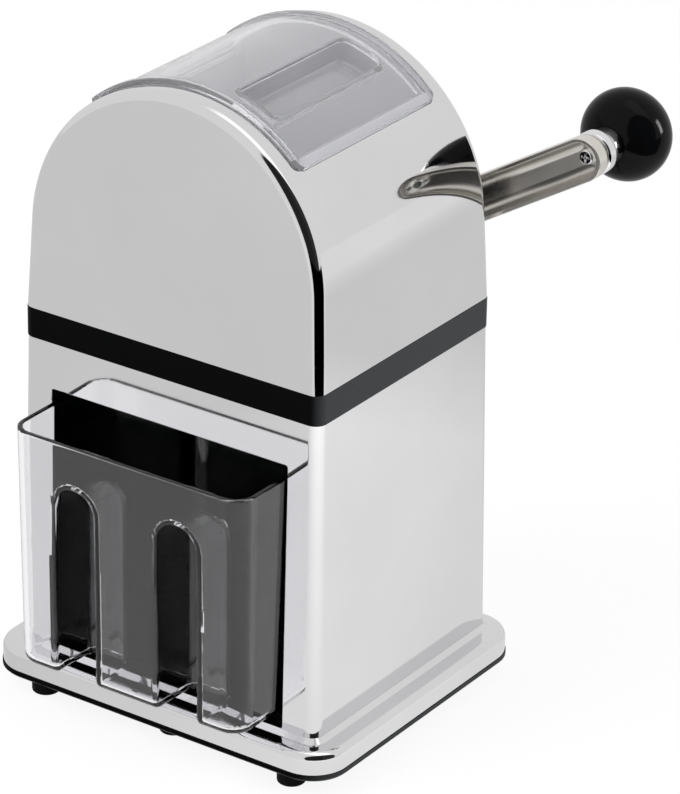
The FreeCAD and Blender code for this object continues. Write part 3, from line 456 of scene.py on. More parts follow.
def frosted_plastic(name, tone):
    material, tree, bsdf = shader(name)
    clouds = object_noise(tree, 40, 3)
    drifting(tree, bsdf, clouds, tone, (0.96, 1), (0.3, 0.45))
    return material


def cached(name, make, *values):
    """One material for all the pieces that share a finish."""
    return bpy.data.materials.get(name) or make(name, *values)


def chosen(name):
    """Tone that the user set for a finish."""
    return tuple(getattr(bpy.context.scene.crusher_finish, name))


def housing_chrome():
    return cached("Housing chrome", polished_chrome, chosen("chrome"))


def plate_chrome():
    return cached("Bright plating", polished_chrome, (0.86, 0.86, 0.87), 0.08, 0.0)


def arm_nickel():
    return cached("Arm nickel", polished_chrome, chosen("nickel"), 0.24, 0.05)


def band_black():
    return cached("Band black", dark_plastic, chosen("black"), 0.32, 1400, 0.05, 0.02)


def bay_black():
    return cached("Bay black", dark_plastic, (0.0022, 0.0023, 0.0025), 0.6, 1400, 0.05, 0.0)


def knob_black():
    return cached("Knob black", dark_plastic, (0.0015, 0.0016, 0.0018), 0.1, 300, 0.01, 0.1)


def foot_rubber():
    return cached("Foot rubber", dark_plastic, (0.004, 0.004, 0.004), 0.65, 2200, 0.2, 0.05)


def rotor_steel():
    return cached("Rotor steel", machined_steel, (0.62, 0.62, 0.61), 0.26, (1, 0.05, 1))


def screw_zinc():
    return cached("Screw zinc", machined_steel, (0.68, 0.69, 0.71), 0.3, (1, 1, 0.2))


def bush_bronze():
    return cached("Bush bronze", machined_steel, (0.6, 0.42, 0.2), 0.3, (1, 0.1, 1))


def drawer_clear():
    return cached("Drawer clear", clear_plastic, chosen("drawer"), 1.0)


def lid_clear():
    return cached("Lid clear", clear_plastic, chosen("lid"), 0.86)


def hopper_clear():
    return cached("Hopper frosted", frosted_plastic, (0.90, 0.90, 0.93))


# Settings


def length(name, description, millimetres):
    return FloatProperty(name=name, description=description, default=millimetres * MM, unit="LENGTH")


def angle(name, description, radians):
    return FloatProperty(name=name, description=description, default=radians, subtype="ANGLE")


def number(name, description, value):
    return FloatProperty(name=name, description=description, default=value)


def colour(name, description, tone):
    return FloatVectorProperty(
        name=name, description=description, default=tone, subtype="COLOR", min=0, max=1)


class CrusherFinish(bpy.types.PropertyGroup):
    """Colours of the finishes."""

    chrome: colour("Chrome", "Tone of the plated housings", (0.812, 0.81, 0.82))
    nickel: colour("Arm nickel", "Tone of the crank arm", (0.80, 0.77, 0.72))
    black: colour("Band black", "Tone of the band and base plate", (0.0016, 0.0017, 0.0018))
    drawer: colour("Drawer", "Tint of the clear drawer", (0.93, 0.93, 0.945))
    lid: colour("Lid", "Tint of the clear lid", (0.93, 0.93, 0.955))


class CrusherHousing(bpy.types.PropertyGroup):
    """Sizes of the plinth, band and housings that the frame doesn't give."""

    corner: length("Lower corner", "Upright corner radius of the lower housing", 4.8)
    arch_edge: length("Arch edge", "Radius between the arch and the faces", 4.5)
    arch_radius: length("Arch radius", "Radius of the arched top", 67.35)
    lower_draft: number("Lower draft", "Growth of the lower housing towards its foot", 0.015)
    upper_draft: number("Upper draft", "Lean of the upper housing's faces", 0.035)
    mouth_width: length("Mouth width", "Width of the drawer opening", 110.8)
    mouth_sill: length("Mouth sill", "Height of the opening above the plinth", 1.9)
    mouth_height: length("Mouth height", "Height of the drawer opening", 111.1)
    plinth_corner: length("Plinth corner", "Corner radius of plinth and base plate", 16)
    plinth_edge: length("Plinth edge", "Radius of the plinth's top edge", 3.5)
    foot_bevel: length("Foot bevel", "Bevel round the foot of the body", 1.9)


class CrusherLid(bpy.types.PropertyGroup):
    """Sizes of the clear lid."""

    half_angle: angle("Half angle", "Angle from the top to the lid's end", math.radians(47))
    depth: length("Depth", "Front to back size of the lid", 89.2)
    corner: length("Corner", "Corner radius of the lid", 4)
    gap: length("Gap", "Gap round the lid", 0.3)
    proud: length("Proud", "Height of the rim above the arch", 2.0)
    rim: length("Rim", "Width of the rim's flat top", 2.8)
    slope: length("Slope", "Width of the slope inside the rim", 2.4)
    recess: length("Recess", "Drop from the rim to the panel", 1.2)
    seat: length("Seat", "Underside below the arch", 1.5)
    rib_inset: length("Rib inset", "Distance of the rib from the edge", 3.9)
    rib: length("Rib", "Width and depth of the rib below", 1.55)
    pocket_angle: angle("Pocket angle", "Angle from the top to the finger pocket", math.radians(20))
    pocket_width: length("Pocket width", "Width of the finger pocket", 20)
    pocket_length: length("Pocket length", "Length of the finger pocket", 69)
    pocket_depth: length("Pocket depth", "Depth of the finger pocket", 8)
    pocket_wall: length("Pocket wall", "Wall round the finger pocket", 1.8)
    knuckle: length("Knuckle", "Radius of the hinge knuckle", 2.6)
    hinge_step: length("Hinge step", "Distance from the hinge to the raised rim", 3.7)
    detail: length("Detail", "Mesh cell of the moulded lid", 0.75)


class CrusherDrawer(bpy.types.PropertyGroup):
    """Sizes of the clear drawer."""

    wall: length("Wall", "Wall thickness", 2.0)
    corner: length("Corner", "Upright corner radius", 9.5)
    tunnel_place: length("Tunnel place", "Distance of a tunnel from the middle", 24.0)
    tunnel_radius: length("Tunnel radius", "Arch radius at the front", 9.4)
    tunnel_top: length("Tunnel top", "Height of a tunnel's arch at the front", 82.2)
    tunnel_depth: length("Tunnel depth", "Depth from the front face", 25)
    detail: length("Detail", "Mesh cell of the moulded drawer", 1.25)


class CrusherCrank(bpy.types.PropertyGroup):
    """Sizes of the crank arm and its fittings."""

    arm_width: length("Arm width", "Width of the channel", 17.2)
    arm_sheet: length("Arm sheet", "Sheet thickness of the channel", 1.6)
    arm_bend: length("Arm bend", "Outer radius where the sheet is bent", 2.4)
    arm_trough: length("Arm trough", "Radius inside the channel", 4.4)


class CrusherStudio(bpy.types.PropertyGroup):
    """Camera and lights."""

    yaw: angle("Yaw", "Camera turned from straight ahead", 0.6008)
    pitch: angle("Pitch", "Camera looks down by this angle", 0.44833)
    roll: angle("Roll", "Camera turned about its own axis", 0.018)
    lens: number("Lens", "Focal length in millimetres on a 36 mm side", 203.36)
    key_power: number("Key power", "Watts of the main soft lamp", 26)
    rim_power: number("Rim power", "Watts of the lamp on the black pieces' right side", 480)
    window_power: number("Window power", "Watts of the lamp that draws the knob's streak", 10)
    ambient: number("Ambient", "Strength of the even light", 0.75)
    room: number("Room", "Brightness of the room in the polish", 0.80)
    strip: number("Strip", "Brightness of the overhead strip in the polish", 1.35)
    near_glow: number("Near glow", "Brightness of the floor at the right side in the polish", 1.22)
    far_glow: number("Far glow", "Brightness of the rest of the floor in the polish", 0.70)


# Housings and plinth


def lower_halves(z):
    settings = bpy.context.scene.crusher_housing
    grow = (Z_BAND - z) * settings.lower_draft
    return BODY_W / 2 + grow, BODY_D / 2 + grow


def fixed_halves(half_x, half_y):
    return lambda z: (half_x, half_y)


def mouth_loop(depth, grow):
    """Corners of the drawer opening on the leaning front wall, set in from it."""
    settings = bpy.context.scene.crusher_housing
    half = settings.mouth_width / 2 + grow
    low = Z_LOWER + settings.mouth_sill - grow
    high = Z_LOWER + settings.mouth_sill + settings.mouth_height + grow
    radius = 1.0 * MM + grow
    points = []
    for sign_x, sign_z, start in ((1, -1, -QUARTER), (1, 1, 0), (-1, 1, QUARTER), (-1, -1, 2 * QUARTER)):
        centre_z = high - radius if sign_z > 0 else low + radius
        for x, z, a, b in arc(sign_x * (half - radius), centre_z, radius, start, start + QUARTER, 4):
            y = CENTRE_Y - lower_halves(z)[1] + depth
            points.append((Vector((CENTRE_X + x, y, z)), Vector((-a, 0, -b))))
    return points


class OBJECT_OT_crusher_lower_housing(bpy.types.Operator):
    """Plated box with the drawer opening"""

    bl_idname = "crusher.lower_housing"
    bl_label = "Lower housing"

    def execute(self, context):
        settings = context.scene.crusher_housing
        skin = Skin()
        lip = 0.35 * MM
        draft = settings.lower_draft
        loops = []
        for inset, inward in ((0, False), (SHEET, True)):
            profile = [(inset, z, 1, 0 if inward else -draft) for z in (Z_LOWER, Z_BAND)]
            rows = plan_rows(profile, lower_halves, settings.corner, inward)
            last = len(rows[0]) - 1
            skin.grid(rows, closed=True, skip=(last,))
            front = [rows[0][last][0], rows[0][0][0], rows[1][0][0], rows[1][last][0]]
            hole = mouth_loop(inset, 0 if inward else lip)
            facing = (0, 1, draft) if inward else (0, -1, -draft)
            skin.flat(front, facing, [ring_points(hole)])
            loops.append((rows, hole))
        (outer, outer_hole), (inner, inner_hole) = loops
        rounding = []
        for step in range(4):
            angle = QUARTER * step / 3
            depth = lip * (1 - math.cos(angle))
            grow = lip * (1 - math.sin(angle))
            rounding.append([(place, Vector((n.x * math.sin(angle), -math.cos(angle), n.z * math.sin(angle))))
                             for place, n in mouth_loop(depth, grow)])
        skin.grid(rounding, closed=True)
        skin.grid([mouth_loop(lip, 0), inner_hole], closed=True)
        for index, up in ((0, -1), (1, 1)):
            skin.grid([[(place, Vector((0, 0, up))) for place, n in rows[index]]
                       for rows in (outer, inner)], closed=True)
        piece = skin.piece("lower_housing_shell")
        finish_piece(piece, housing_chrome(), "housing", "chrome", "lower_housing")
        return {"FINISHED"}


def arch_tangent(inset):
    """Angle above level where the leaning side meets the arch, and that arch's radius."""
    settings = bpy.context.scene.crusher_housing
    half = BODY_W / 2 - inset
    radius = settings.arch_radius - inset
    rise = Z_TOP - settings.arch_radius - Z_UPPER
    return math.acos(radius / math.hypot(half, rise)) - math.atan2(rise, half), radius


def arch_outline(inset, angles):
    """Half housing outline from the right foot over the top to the left foot."""
    settings = bpy.context.scene.crusher_housing
    tangent, radius = arch_tangent(inset)
    centre_z = Z_TOP - settings.arch_radius
    half = BODY_W / 2 - inset
    c, s = math.cos(tangent), math.sin(tangent)
    points = [(half, Z_UPPER, c, s)]
    for angle in angles:
        limited = max(min(angle, QUARTER - tangent), tangent - QUARTER)
        a, b = math.sin(limited), math.cos(limited)
        points.append((radius * a, centre_z + radius * b, a, b))
    points.append((-half, Z_UPPER, -c, s))
    return points


def arch_angles():
    """Angles from the top at which the arch has columns, from right to left."""
    lid = bpy.context.scene.crusher_lid
    settings = bpy.context.scene.crusher_housing
    tangent = arch_tangent(0)[0]
    end = QUARTER - tangent
    reach = hole_reach()
    corner = (lid.corner + lid.gap) / settings.arch_radius
    angles = [end]
    steps = 22
    angles += [end + (reach - end) * (i + 1) / steps for i in range(steps)]
    corner_steps = 8
    for i in range(corner_steps - 1, -1, -1):
        angles.append(reach - corner + corner * math.sin(QUARTER * i / corner_steps))
    inner_steps = 44
    half = [(reach - corner) * (1 - (i + 1) / inner_steps) for i in range(inner_steps)]
    angles += half
    return angles + [-angle for angle in reversed(angles[:-1])]


def hole_reach():
    lid = bpy.context.scene.crusher_lid
    settings = bpy.context.scene.crusher_housing
    return lid.half_angle + lid.gap / settings.arch_radius


def hole_half_depth(angle):
    """Half depth of the lid opening at an angle from the top, round cornered at the right end."""
    lid = bpy.context.scene.crusher_lid
    settings = bpy.context.scene.crusher_housing
    corner = lid.corner + lid.gap
    half = lid.depth / 2 + lid.gap
    past = angle * settings.arch_radius - (hole_reach() * settings.arch_radius - corner)
    past = min(max(past, 0), corner)
    return half - corner + math.sqrt(corner * corner - past * past)


def face_depth(inset, z):
    """Half depth of the leaning faces at a height."""
    settings = bpy.context.scene.crusher_housing
    return BODY_D / 2 - inset - (z - Z_UPPER) * settings.upper_draft


def upper_skin(skin, inset, sign):
    """One surface of the upper housing; sign is 1 outside and -1 inside. Returns its open edges."""
    settings = bpy.context.scene.crusher_housing
    edge = settings.arch_edge - inset
    angles = arch_angles()
    outline = arch_outline(inset, angles)
    tangent_angles = [angles[0]] + angles + [angles[-1]]
    reach = hole_reach()
    rows = {}
    for face in (-1, 1):
        lean = Vector((0, face, settings.upper_draft)).normalized()
        rounding = []
        steps = 8
        for step in range(steps + 1):
            turn = QUARTER * step / steps
            ring = arch_outline(inset + edge * (1 - math.cos(turn)), angles)
            row = []
            for x, z, a, b in ring:
                depth = face_depth(inset, z) - edge * (1 - math.sin(turn))
                normal = Vector((a, 0, b)) * math.cos(turn) + lean * math.sin(turn)
                row.append((Vector((CENTRE_X + x, CENTRE_Y + face * depth, z)), normal * sign))
            rounding.append(row)
        skin.grid(rounding)
        rows[face] = rounding
    hole = {-1: [], 1: []}
    previous = None
    for i, (x, z, a, b) in enumerate(outline):
        normal = Vector((a, 0, b)) * sign
        half = hole_half_depth(tangent_angles[i])
        column = [rows[-1][0][i], (Vector((CENTRE_X + x, CENTRE_Y - half, z)), normal),
                  (Vector((CENTRE_X + x, CENTRE_Y + half, z)), normal), rows[1][0][i]]
        inside = abs(tangent_angles[i]) <= reach + 1e-9
        if previous:
            both = inside and previous[1]
            skin.grid([previous[0], column], skip=(1,) if both else ())
        if inside:
            hole[-1].append(column[1])
            hole[1].append(column[2])
        previous = (column, inside)
    return rows, hole[-1] + list(reversed(hole[1]))


def boss_notch(inset, z_low):
    """Half round notch in the rear wall where the bearing boss passes."""
    radius = BOSS_NOTCH
    start = math.asin((z_low - AXIS_Z) / radius)
    points = []
    for x, z, a, b in arc(0, AXIS_Z, radius, start, HALF_TURN - start, 20):
        points.append((Vector((CENTRE_X + x, CENTRE_Y + face_depth(inset, z), z)), Vector((-a, 0, -b))))
    return points


class OBJECT_OT_crusher_upper_housing(bpy.types.Operator):
    """Plated arched shell with the lid opening"""

    bl_idname = "crusher.upper_housing"
    bl_label = "Upper housing"

    def execute(self, context):
        settings = context.scene.crusher_housing
        skin = Skin()
        kept = []
        for inset, sign in ((0, 1), (SHEET, -1)):
            rows, hole = upper_skin(skin, inset, sign)
            front = ring_points(rows[-1][-1])
            skin.flat(front, Vector((0, -1, settings.upper_draft)) * sign)
            back = ring_points(rows[1][-1])
            notch = boss_notch(inset, Z_UPPER)
            skin.flat(back + ring_points(notch)[::-1], Vector((0, 1, settings.upper_draft)) * sign)
            right = [row[0][0] for row in reversed(rows[-1])] + [row[0][0] for row in rows[1]]
            left = [row[-1][0] for row in rows[1][::-1] + rows[-1]]
            kept.append((hole, notch, right, left))
        (hole, notch, right, left), (in_hole, in_notch, in_right, in_left) = kept
        above = Vector((CENTRE_X, CENTRE_Y, Z_TOP))
        outer_rim = []
        inner_rim = []
        for i, (place, normal) in enumerate(hole):
            before = hole[i - 1][0]
            after = hole[(i + 1) % len(hole)][0]
            wall = (after - before).cross(normal)
            if wall.dot(above - place) < 0:
                wall = -wall
            outer_rim.append((place, wall))
            inner_rim.append((in_hole[i][0], wall))
        skin.grid([outer_rim, inner_rim], closed=True)
        skin.grid([notch, in_notch])
        down = Vector((0, 0, -1))
        for outer, inner in ((right, in_right), (left, in_left)):
            skin.grid([[(p, down) for p in outer], [(p, down) for p in inner]])
        for outer_a, outer_b, inner_a, inner_b in ((left[-1], right[0], in_left[-1], in_right[0]),
                                                   (right[-1], notch[0][0], in_right[-1], in_notch[0][0]),
                                                   (left[0], notch[-1][0], in_left[0], in_notch[-1][0])):
            skin.grid([[(outer_a, down), (outer_b, down)], [(inner_a, down), (inner_b, down)]])
        piece = skin.piece("upper_housing_shell")
        finish_piece(piece, housing_chrome(), "housing", "chrome", "upper_housing")
        return {"FINISHED"}


class OBJECT_OT_crusher_plinth(bpy.types.Operator):
    """Plated plinth and the black base plate under it"""

    bl_idname = "crusher.plinth"
    bl_label = "Plinth and base plate"

    def execute(self, context):
        settings = context.scene.crusher_housing
        half_x = (PLATE_HIGH.x - PLATE_LOW.x) / 2
        half_y = (PLATE_HIGH.y - PLATE_LOW.y) / 2
        skin = Skin()
        inset = PLINTH_INSET
        edge = settings.plinth_edge
        side = [(inset, Z_PLINTH, 1, 0), (inset, Z_LOWER - edge, 1, 0)]
        top = [(inset + edge - u, v, a, b) for u, v, a, b in arc(0, Z_LOWER - edge, edge, 0, QUARTER, 10)]
        plan = fixed_halves(half_x, half_y)
        side_rows = plan_rows(side, plan, settings.plinth_corner)
        skin.grid(side_rows, closed=True)
        top_rows = plan_rows(top, plan, settings.plinth_corner)
        skin.grid(top_rows, closed=True)
        bevel = settings.foot_bevel
        bx, by = lower_halves(Z_LOWER)
        body = fixed_halves(bx, by)
        bevel_rows = plan_rows([(-bevel, Z_LOWER, 1, 1), (0, Z_LOWER + bevel, 1, 1)], body, settings.corner)
        skin.grid(bevel_rows, closed=True)
        skin.flat(ring_points(top_rows[-1]), (0, 0, 1), [ring_points(bevel_rows[0])])
        inner = plan_rows([(0, Z_LOWER + bevel, -1, 0), (0, Z_LOWER, -1, 0)], body, settings.corner)
        skin.grid(inner, closed=True)
        skin.flat(ring_points(inner[-1]), (0, 0, 1))
        skin.flat(ring_points(side_rows[0]), (0, 0, -1))
        piece = skin.piece("plinth_shell")
        finish_piece(piece, housing_chrome(), "housing", "chrome", "plinth")
        self.base_plate(settings, plan)
        return {"FINISHED"}

    def base_plate(self, settings, plan):
        skin = Skin()
        low, high = PLATE_LOW.z, PLATE_HIGH.z
        bevel = PLATE_BEVEL
        groove = PLATE_GROOVE
        middle = (low + bevel + high) / 2
        turns = [(bevel, low), (0, low + bevel), (0, middle - groove), (groove, middle),
                 (0, middle + groove), (0, high)]
        rows = []
        for (inset_a, za), (inset_b, zb) in zip(turns, turns[1:]):
            stretch = [(inset, z, a, b) for inset, z, a, b in
                       ((inset_a, za, zb - za, inset_b - inset_a), (inset_b, zb, zb - za, inset_b - inset_a))]
            rows = plan_rows(stretch, plan, settings.plinth_corner)
            skin.grid(rows, closed=True)
            if z_is(za, low):
                bottom = ring_points(rows[0])
        holes = []
        screw_low, screw_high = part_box("base_screws")
        reach = SINK_RADIUS
        inward = reach - SINK_PLAY
        for x in (screw_low.x + inward, screw_high.x - inward):
            for y in (screw_low.y + inward, screw_high.y - inward):
                sink = []
                for place_x, place_y, a, b in arc(x, y, reach, 0, 2 * HALF_TURN, 24)[:-1]:
                    sink.append((Vector((place_x, place_y, low)), Vector((-a, -b, 0))))
                holes.append(ring_points(sink))
                lift = Vector((0, 0, SCREW_HEAD))
                skin.grid([sink, [(p + lift, n) for p, n in sink]], closed=True)
                skin.flat([p + lift for p, n in sink], (0, 0, -1))
        skin.flat(bottom, (0, 0, -1), holes)
        skin.flat(ring_points(rows[-1]), (0, 0, 1))
        piece = skin.piece("base_plate_sheet")
        finish_piece(piece, band_black(), "housing", "black_plastic", "base_plate")


def z_is(a, b):
    return abs(a - b) < WELD


class OBJECT_OT_crusher_band(bpy.types.Operator):
    """Black frame between the two housings, with its deck and bearing bosses"""

    bl_idname = "crusher.band"
    bl_label = "Band"

    def execute(self, context):
        settings = context.scene.crusher_housing
        half_x = (BAND_HIGH.x - BAND_LOW.x) / 2
        half_y = (BAND_HIGH.y - BAND_LOW.y) / 2
        corner = settings.corner + half_x - BODY_W / 2
        plan = fixed_halves(half_x, half_y)
        skin = Skin()
        edge = BAND_EDGE
        wall = BAND_WALL
        deck = Z_BAND + BAND_DECK
        low = [(edge - u, v, a, b) for u, v, a, b in arc(0, Z_BAND + edge, edge, -QUARTER, 0, 4)]
        high = [(edge - u, v, a, b) for u, v, a, b in arc(0, Z_UPPER - edge, edge, 0, QUARTER, 4)]
        rows = plan_rows(low + high, plan, corner)
        skin.grid(rows, closed=True)
        inner = plan_rows([(wall, Z_UPPER, 1, 0), (wall, deck, 1, 0)], plan, corner, True)
        skin.grid(inner, closed=True)
        skin.flat(ring_points(rows[-1]), (0, 0, 1), [ring_points(inner[0])])
        throats = []
        for z in (deck, Z_BAND):
            throats.append([Vector((CENTRE_X + sx * THROAT_HALF_W, CENTRE_Y + sy * THROAT_HALF_D, z))
                            for sx, sy in ((1, -1), (1, 1), (-1, 1), (-1, -1))])
        skin.flat(ring_points(inner[-1]), (0, 0, 1), [throats[0]])
        skin.flat(ring_points(rows[0]), (0, 0, -1), [throats[1]])
        for i in range(4):
            j = (i + 1) % 4
            centre = Vector((CENTRE_X, CENTRE_Y, Z_BAND))
            facing = centre - (throats[1][i] + throats[1][j]) / 2
            skin.face([throats[0][i], throats[0][j], throats[1][j], throats[1][i]], [facing] * 4)
        self.bosses(skin)
        piece = skin.piece("band_frame")
        finish_piece(piece, band_black(), "housing", "black_plastic", "middle_band")
        return {"FINISHED"}

    def bosses(self, skin):
        """Rounded bearing bosses that stand up from the deck at both ends of the shaft."""
        radius = BOSS_RADIUS
        start = math.asin((Z_BAND - AXIS_Z) / radius)
        half_y = (BAND_HIGH.y - BAND_LOW.y) / 2
        inside = half_y - BOSS_LENGTH
        for near, far in ((inside, half_y), (-half_y + FRONT_BOSS_INSET, -inside)):
            ends = []
            for y in (near, far):
                ends.append([(Vector((CENTRE_X + x, CENTRE_Y + y, z)), Vector((a, 0, b)))
                             for x, z, a, b in arc(0, AXIS_Z, radius, start, HALF_TURN - start, 40)])
            skin.grid(ends)
            skin.flat(ring_points(ends[0]), (0, -1, 0))
            skin.flat(ring_points(ends[1]), (0, 1, 0))


# Moulded clear pieces


def rounded_and(a, b, radius):
    """Field of what two fields share, with a round edge where they meet."""
    u = np.maximum(a + radius, 0)
    v = np.maximum(b + radius, 0)
    return np.sqrt(u * u + v * v) + np.minimum(np.maximum(a, b) + radius, 0) - radius


def rounded_box_field(u, v, half_u, half_v, radius):
    """Distance to a rounded rectangle, negative inside."""
    a = np.abs(u) - (half_u - radius)
    b = np.abs(v) - (half_v - radius)
    return np.hypot(np.maximum(a, 0), np.maximum(b, 0)) + np.minimum(np.maximum(a, b), 0) - radius


def drawer_field(x, y, z):
    """Distance to the drawer's surface in millimetres about the housing's centre line."""
    settings = bpy.context.scene.crusher_drawer
    wall = settings.wall / MM
    corner = settings.corner / MM
    low = DRAWER_LOW.z / MM
    rim = DRAWER_HIGH.z / MM
    front = (DRAWER_LOW.y - CENTRE_Y) / MM
    back = (DRAWER_HIGH.y - CENTRE_Y) / MM
    half_x = (DRAWER_HIGH.x - DRAWER_LOW.x) / MM / 2
    half_y = (back - front) / 2
    shrink = (rim - z) * DRAWER_DRAFT
    cup = rounded_box_field(x, y - (front + back) / 2, half_x - shrink, half_y - shrink, corner)
    cup = rounded_and(cup, low - z, DRAWER_FOOT_ROUND)
    depth = y - front
    share = np.clip(depth / (settings.tunnel_depth / MM), 0, 1)
    radius = settings.tunnel_radius / MM - TUNNEL_TAPER * share
    apex = low + settings.tunnel_top / MM - TUNNEL_DROP * share
    for place in (-settings.tunnel_place / MM, settings.tunnel_place / MM):
        across = x - place
        above = z - (apex - radius)
        arch = np.where(above > 0, np.hypot(across, above), np.abs(across)) - radius
        tunnel = rounded_and(arch, depth - settings.tunnel_depth / MM, TUNNEL_END_ROUND)
        cup = rounded_and(cup, -tunnel, TUNNEL_EDGE_ROUND)
    hollow = np.maximum(cup, -(cup + wall))
    return rounded_and(hollow, z - rim, DRAWER_RIM_ROUND)


def lid_field(u, v, w):
    """About the distance to the lid in millimetres: u along the arch, v to the back, w above it."""
    lid = bpy.context.scene.crusher_lid
    radius = bpy.context.scene.crusher_housing.arch_radius / MM
    half_u = lid.half_angle * radius
    half_v = lid.depth / MM / 2
    knuckle_r = lid.knuckle / MM
    rounded = rounded_box_field(u, v, half_u, half_v, lid.corner / MM)
    edge = np.where(u > 0, rounded, rounded_box_field(u, v, half_u, half_v, SHARP_CORNER))
    drop = smooth(np.clip((-edge - lid.rim / MM) / (lid.slope / MM), 0, 1))
    top = (lid.proud - lid.recess * drop) / MM
    deep = lid.pocket_depth / MM
    wall = lid.pocket_wall / MM
    pocket = rounded_box_field(u - lid.pocket_angle * radius, v, lid.pocket_width / MM / 2,
                               lid.pocket_length / MM / 2, lid.corner / MM)
    top = top - deep * smooth(np.clip(-pocket / POCKET_SLOPE, 0, 1))
    rib = np.abs(edge + (lid.rib_inset + lid.rib / 2) / MM) - lid.rib / MM / 2
    under = -(lid.seat + lid.rib * (rib < 0)) / MM
    sunk = deep * smooth(np.clip((wall - pocket) / POCKET_SLOPE, 0, 1))
    cup = (lid.proud - lid.recess) / MM - sunk - wall
    under = np.minimum(under, np.where(pocket < wall, cup, under))
    lean = LID_EDGE_LEAN * smooth(np.clip((w - 0.5) / 0.5, 0, 1))
    body = rounded_and(w - top, edge + lean, LID_EDGE_ROUND)
    body = np.maximum(body, under - w)
    hinge_u = knuckle_r - half_u
    flush = u < hinge_u + lid.hinge_step / MM
    body = np.where(flush, np.maximum(body, w), body)
    body = np.maximum(body, hinge_u - u)
    from_hinge = np.hypot(u - hinge_u, w + knuckle_r)
    knuckle = np.maximum(from_hinge - knuckle_r, np.abs(v) - half_v)
    return np.maximum(np.minimum(body, knuckle), HINGE_BORE - from_hinge)


def smooth(t):
    return t * t * (3 - 2 * t)


def slopes(field, points):
    """Direction in which a field grows fastest at each point."""
    step = 0.02
    result = np.empty_like(points)
    for axis in range(3):
        ahead = points.copy()
        behind = points.copy()
        ahead[:, axis] += step
        behind[:, axis] -= step
        result[:, axis] = (field(*ahead.T) - field(*behind.T)) / (2 * step)
    return result


def moulded(name, field, low, high, cell, place):
    """Mesh of a field's zero surface on a regular grid, drawn tight onto it; place maps to the frame."""
    counts = [int(math.ceil((b - a) / cell)) + 1 for a, b in zip(low, high)]
    axes = [a + cell * np.arange(n) for a, n in zip(low, counts)]
    values = field(*np.meshgrid(*axes, indexing="ij"))
    inside = values < 0
    total = np.zeros([n - 1 for n in counts] + [3])
    hits = np.zeros([n - 1 for n in counts])
    for axis in range(3):
        low_side = [slice(None)] * 3
        high_side = [slice(None)] * 3
        low_side[axis] = slice(None, -1)
        high_side[axis] = slice(1, None)
        a, b = values[tuple(low_side)], values[tuple(high_side)]
        crossing = inside[tuple(low_side)] != inside[tuple(high_side)]
        share = np.where(crossing, a / np.where(crossing, a - b, 1), 0)
        others = [i for i in range(3) if i != axis]
        for first in (0, 1):
            for second in (0, 1):
                window = [slice(None)] * 3
                for other, offset in zip(others, (first, second)):
                    size = counts[other] - 1
                    window[other] = slice(offset, offset + size)
                hit = crossing[tuple(window)]
                hits += hit
                total[..., axis] += np.where(hit, share[tuple(window)], 0)
                for other, offset in zip(others, (first, second)):
                    total[..., other] += np.where(hit, offset, 0)
    cells = np.argwhere(hits > 0)
    number = -np.ones([n - 1 for n in counts], int)
    number[tuple(cells.T)] = np.arange(len(cells))
    local = total[tuple(cells.T)] / hits[tuple(cells.T)][:, None]
    points = np.array(low) + (cells + local) * cell
    for _ in range(6):
        slope = slopes(field, points)
        length = np.maximum((slope * slope).sum(1), 0.2)
        move = slope * (field(*points.T) / length)[:, None]
        points -= np.clip(move, -cell / 2, cell / 2)
    faces = []
    for axis in range(3):
        u, v = [i for i in range(3) if i != axis]
        low_side = [slice(None)] * 3
        high_side = [slice(None)] * 3
        low_side[axis] = slice(None, -1)
        high_side[axis] = slice(1, None)
        crossing = inside[tuple(low_side)] != inside[tuple(high_side)]
        corners = np.argwhere(crossing)
        keep = (corners[:, u] > 0) & (corners[:, v] > 0)
        keep &= (corners[:, u] < counts[u] - 1) & (corners[:, v] < counts[v] - 1)
        corners = corners[keep]
        quad = []
        for step_u, step_v in ((1, 1), (0, 1), (0, 0), (1, 0)):
            corner = corners.copy()
            corner[:, u] -= step_u
            corner[:, v] -= step_v
            quad.append(number[tuple(corner.T)])
        quad = np.stack(quad, 1)
        outward = inside[tuple(corners.T)]
        if axis == 1:
            outward = ~outward
        quad[~outward] = quad[~outward][:, ::-1]
        faces.append(quad)
    return place(name, points, np.concatenate(faces), slopes(field, points))


def straight_place(name, points, faces, slope):
    """Puts a moulding that is drawn about the housing's centre line into the frame."""
    places = points * MM + np.array([CENTRE_X, CENTRE_Y, 0])
    return plain_mesh(name, places, faces, slope)


def arched_place(name, points, faces, slope):
    """Bends a moulding that is drawn flat round the arch."""
    radius = bpy.context.scene.crusher_housing.arch_radius / MM
    angle = points[:, 0] / radius
    reach = radius + points[:, 2]
    out = np.stack([np.sin(angle), np.zeros(len(angle)), np.cos(angle)], 1)
    along = np.stack([np.cos(angle), np.zeros(len(angle)), -np.sin(angle)], 1)
    places = out * reach[:, None]
    places[:, 1] = points[:, 1]
    places = places * MM + np.array([CENTRE_X, CENTRE_Y, Z_TOP - radius * MM])
    normals = along * (slope[:, 0] * radius / reach)[:, None] + out * slope[:, 2][:, None]
    normals[:, 1] = slope[:, 1]
    return plain_mesh(name, places, faces, normals)


def plain_mesh(name, places, faces, normals):
    mesh = bpy.data.meshes.new(name)
    mesh.from_pydata(places.tolist(), [], faces.tolist())
    mesh.shade_smooth()
    normals = normals / np.maximum(np.linalg.norm(normals, axis=1), 1e-9)[:, None]
    mesh.normals_split_custom_set_from_vertices(normals.tolist())
    return link(name, mesh)


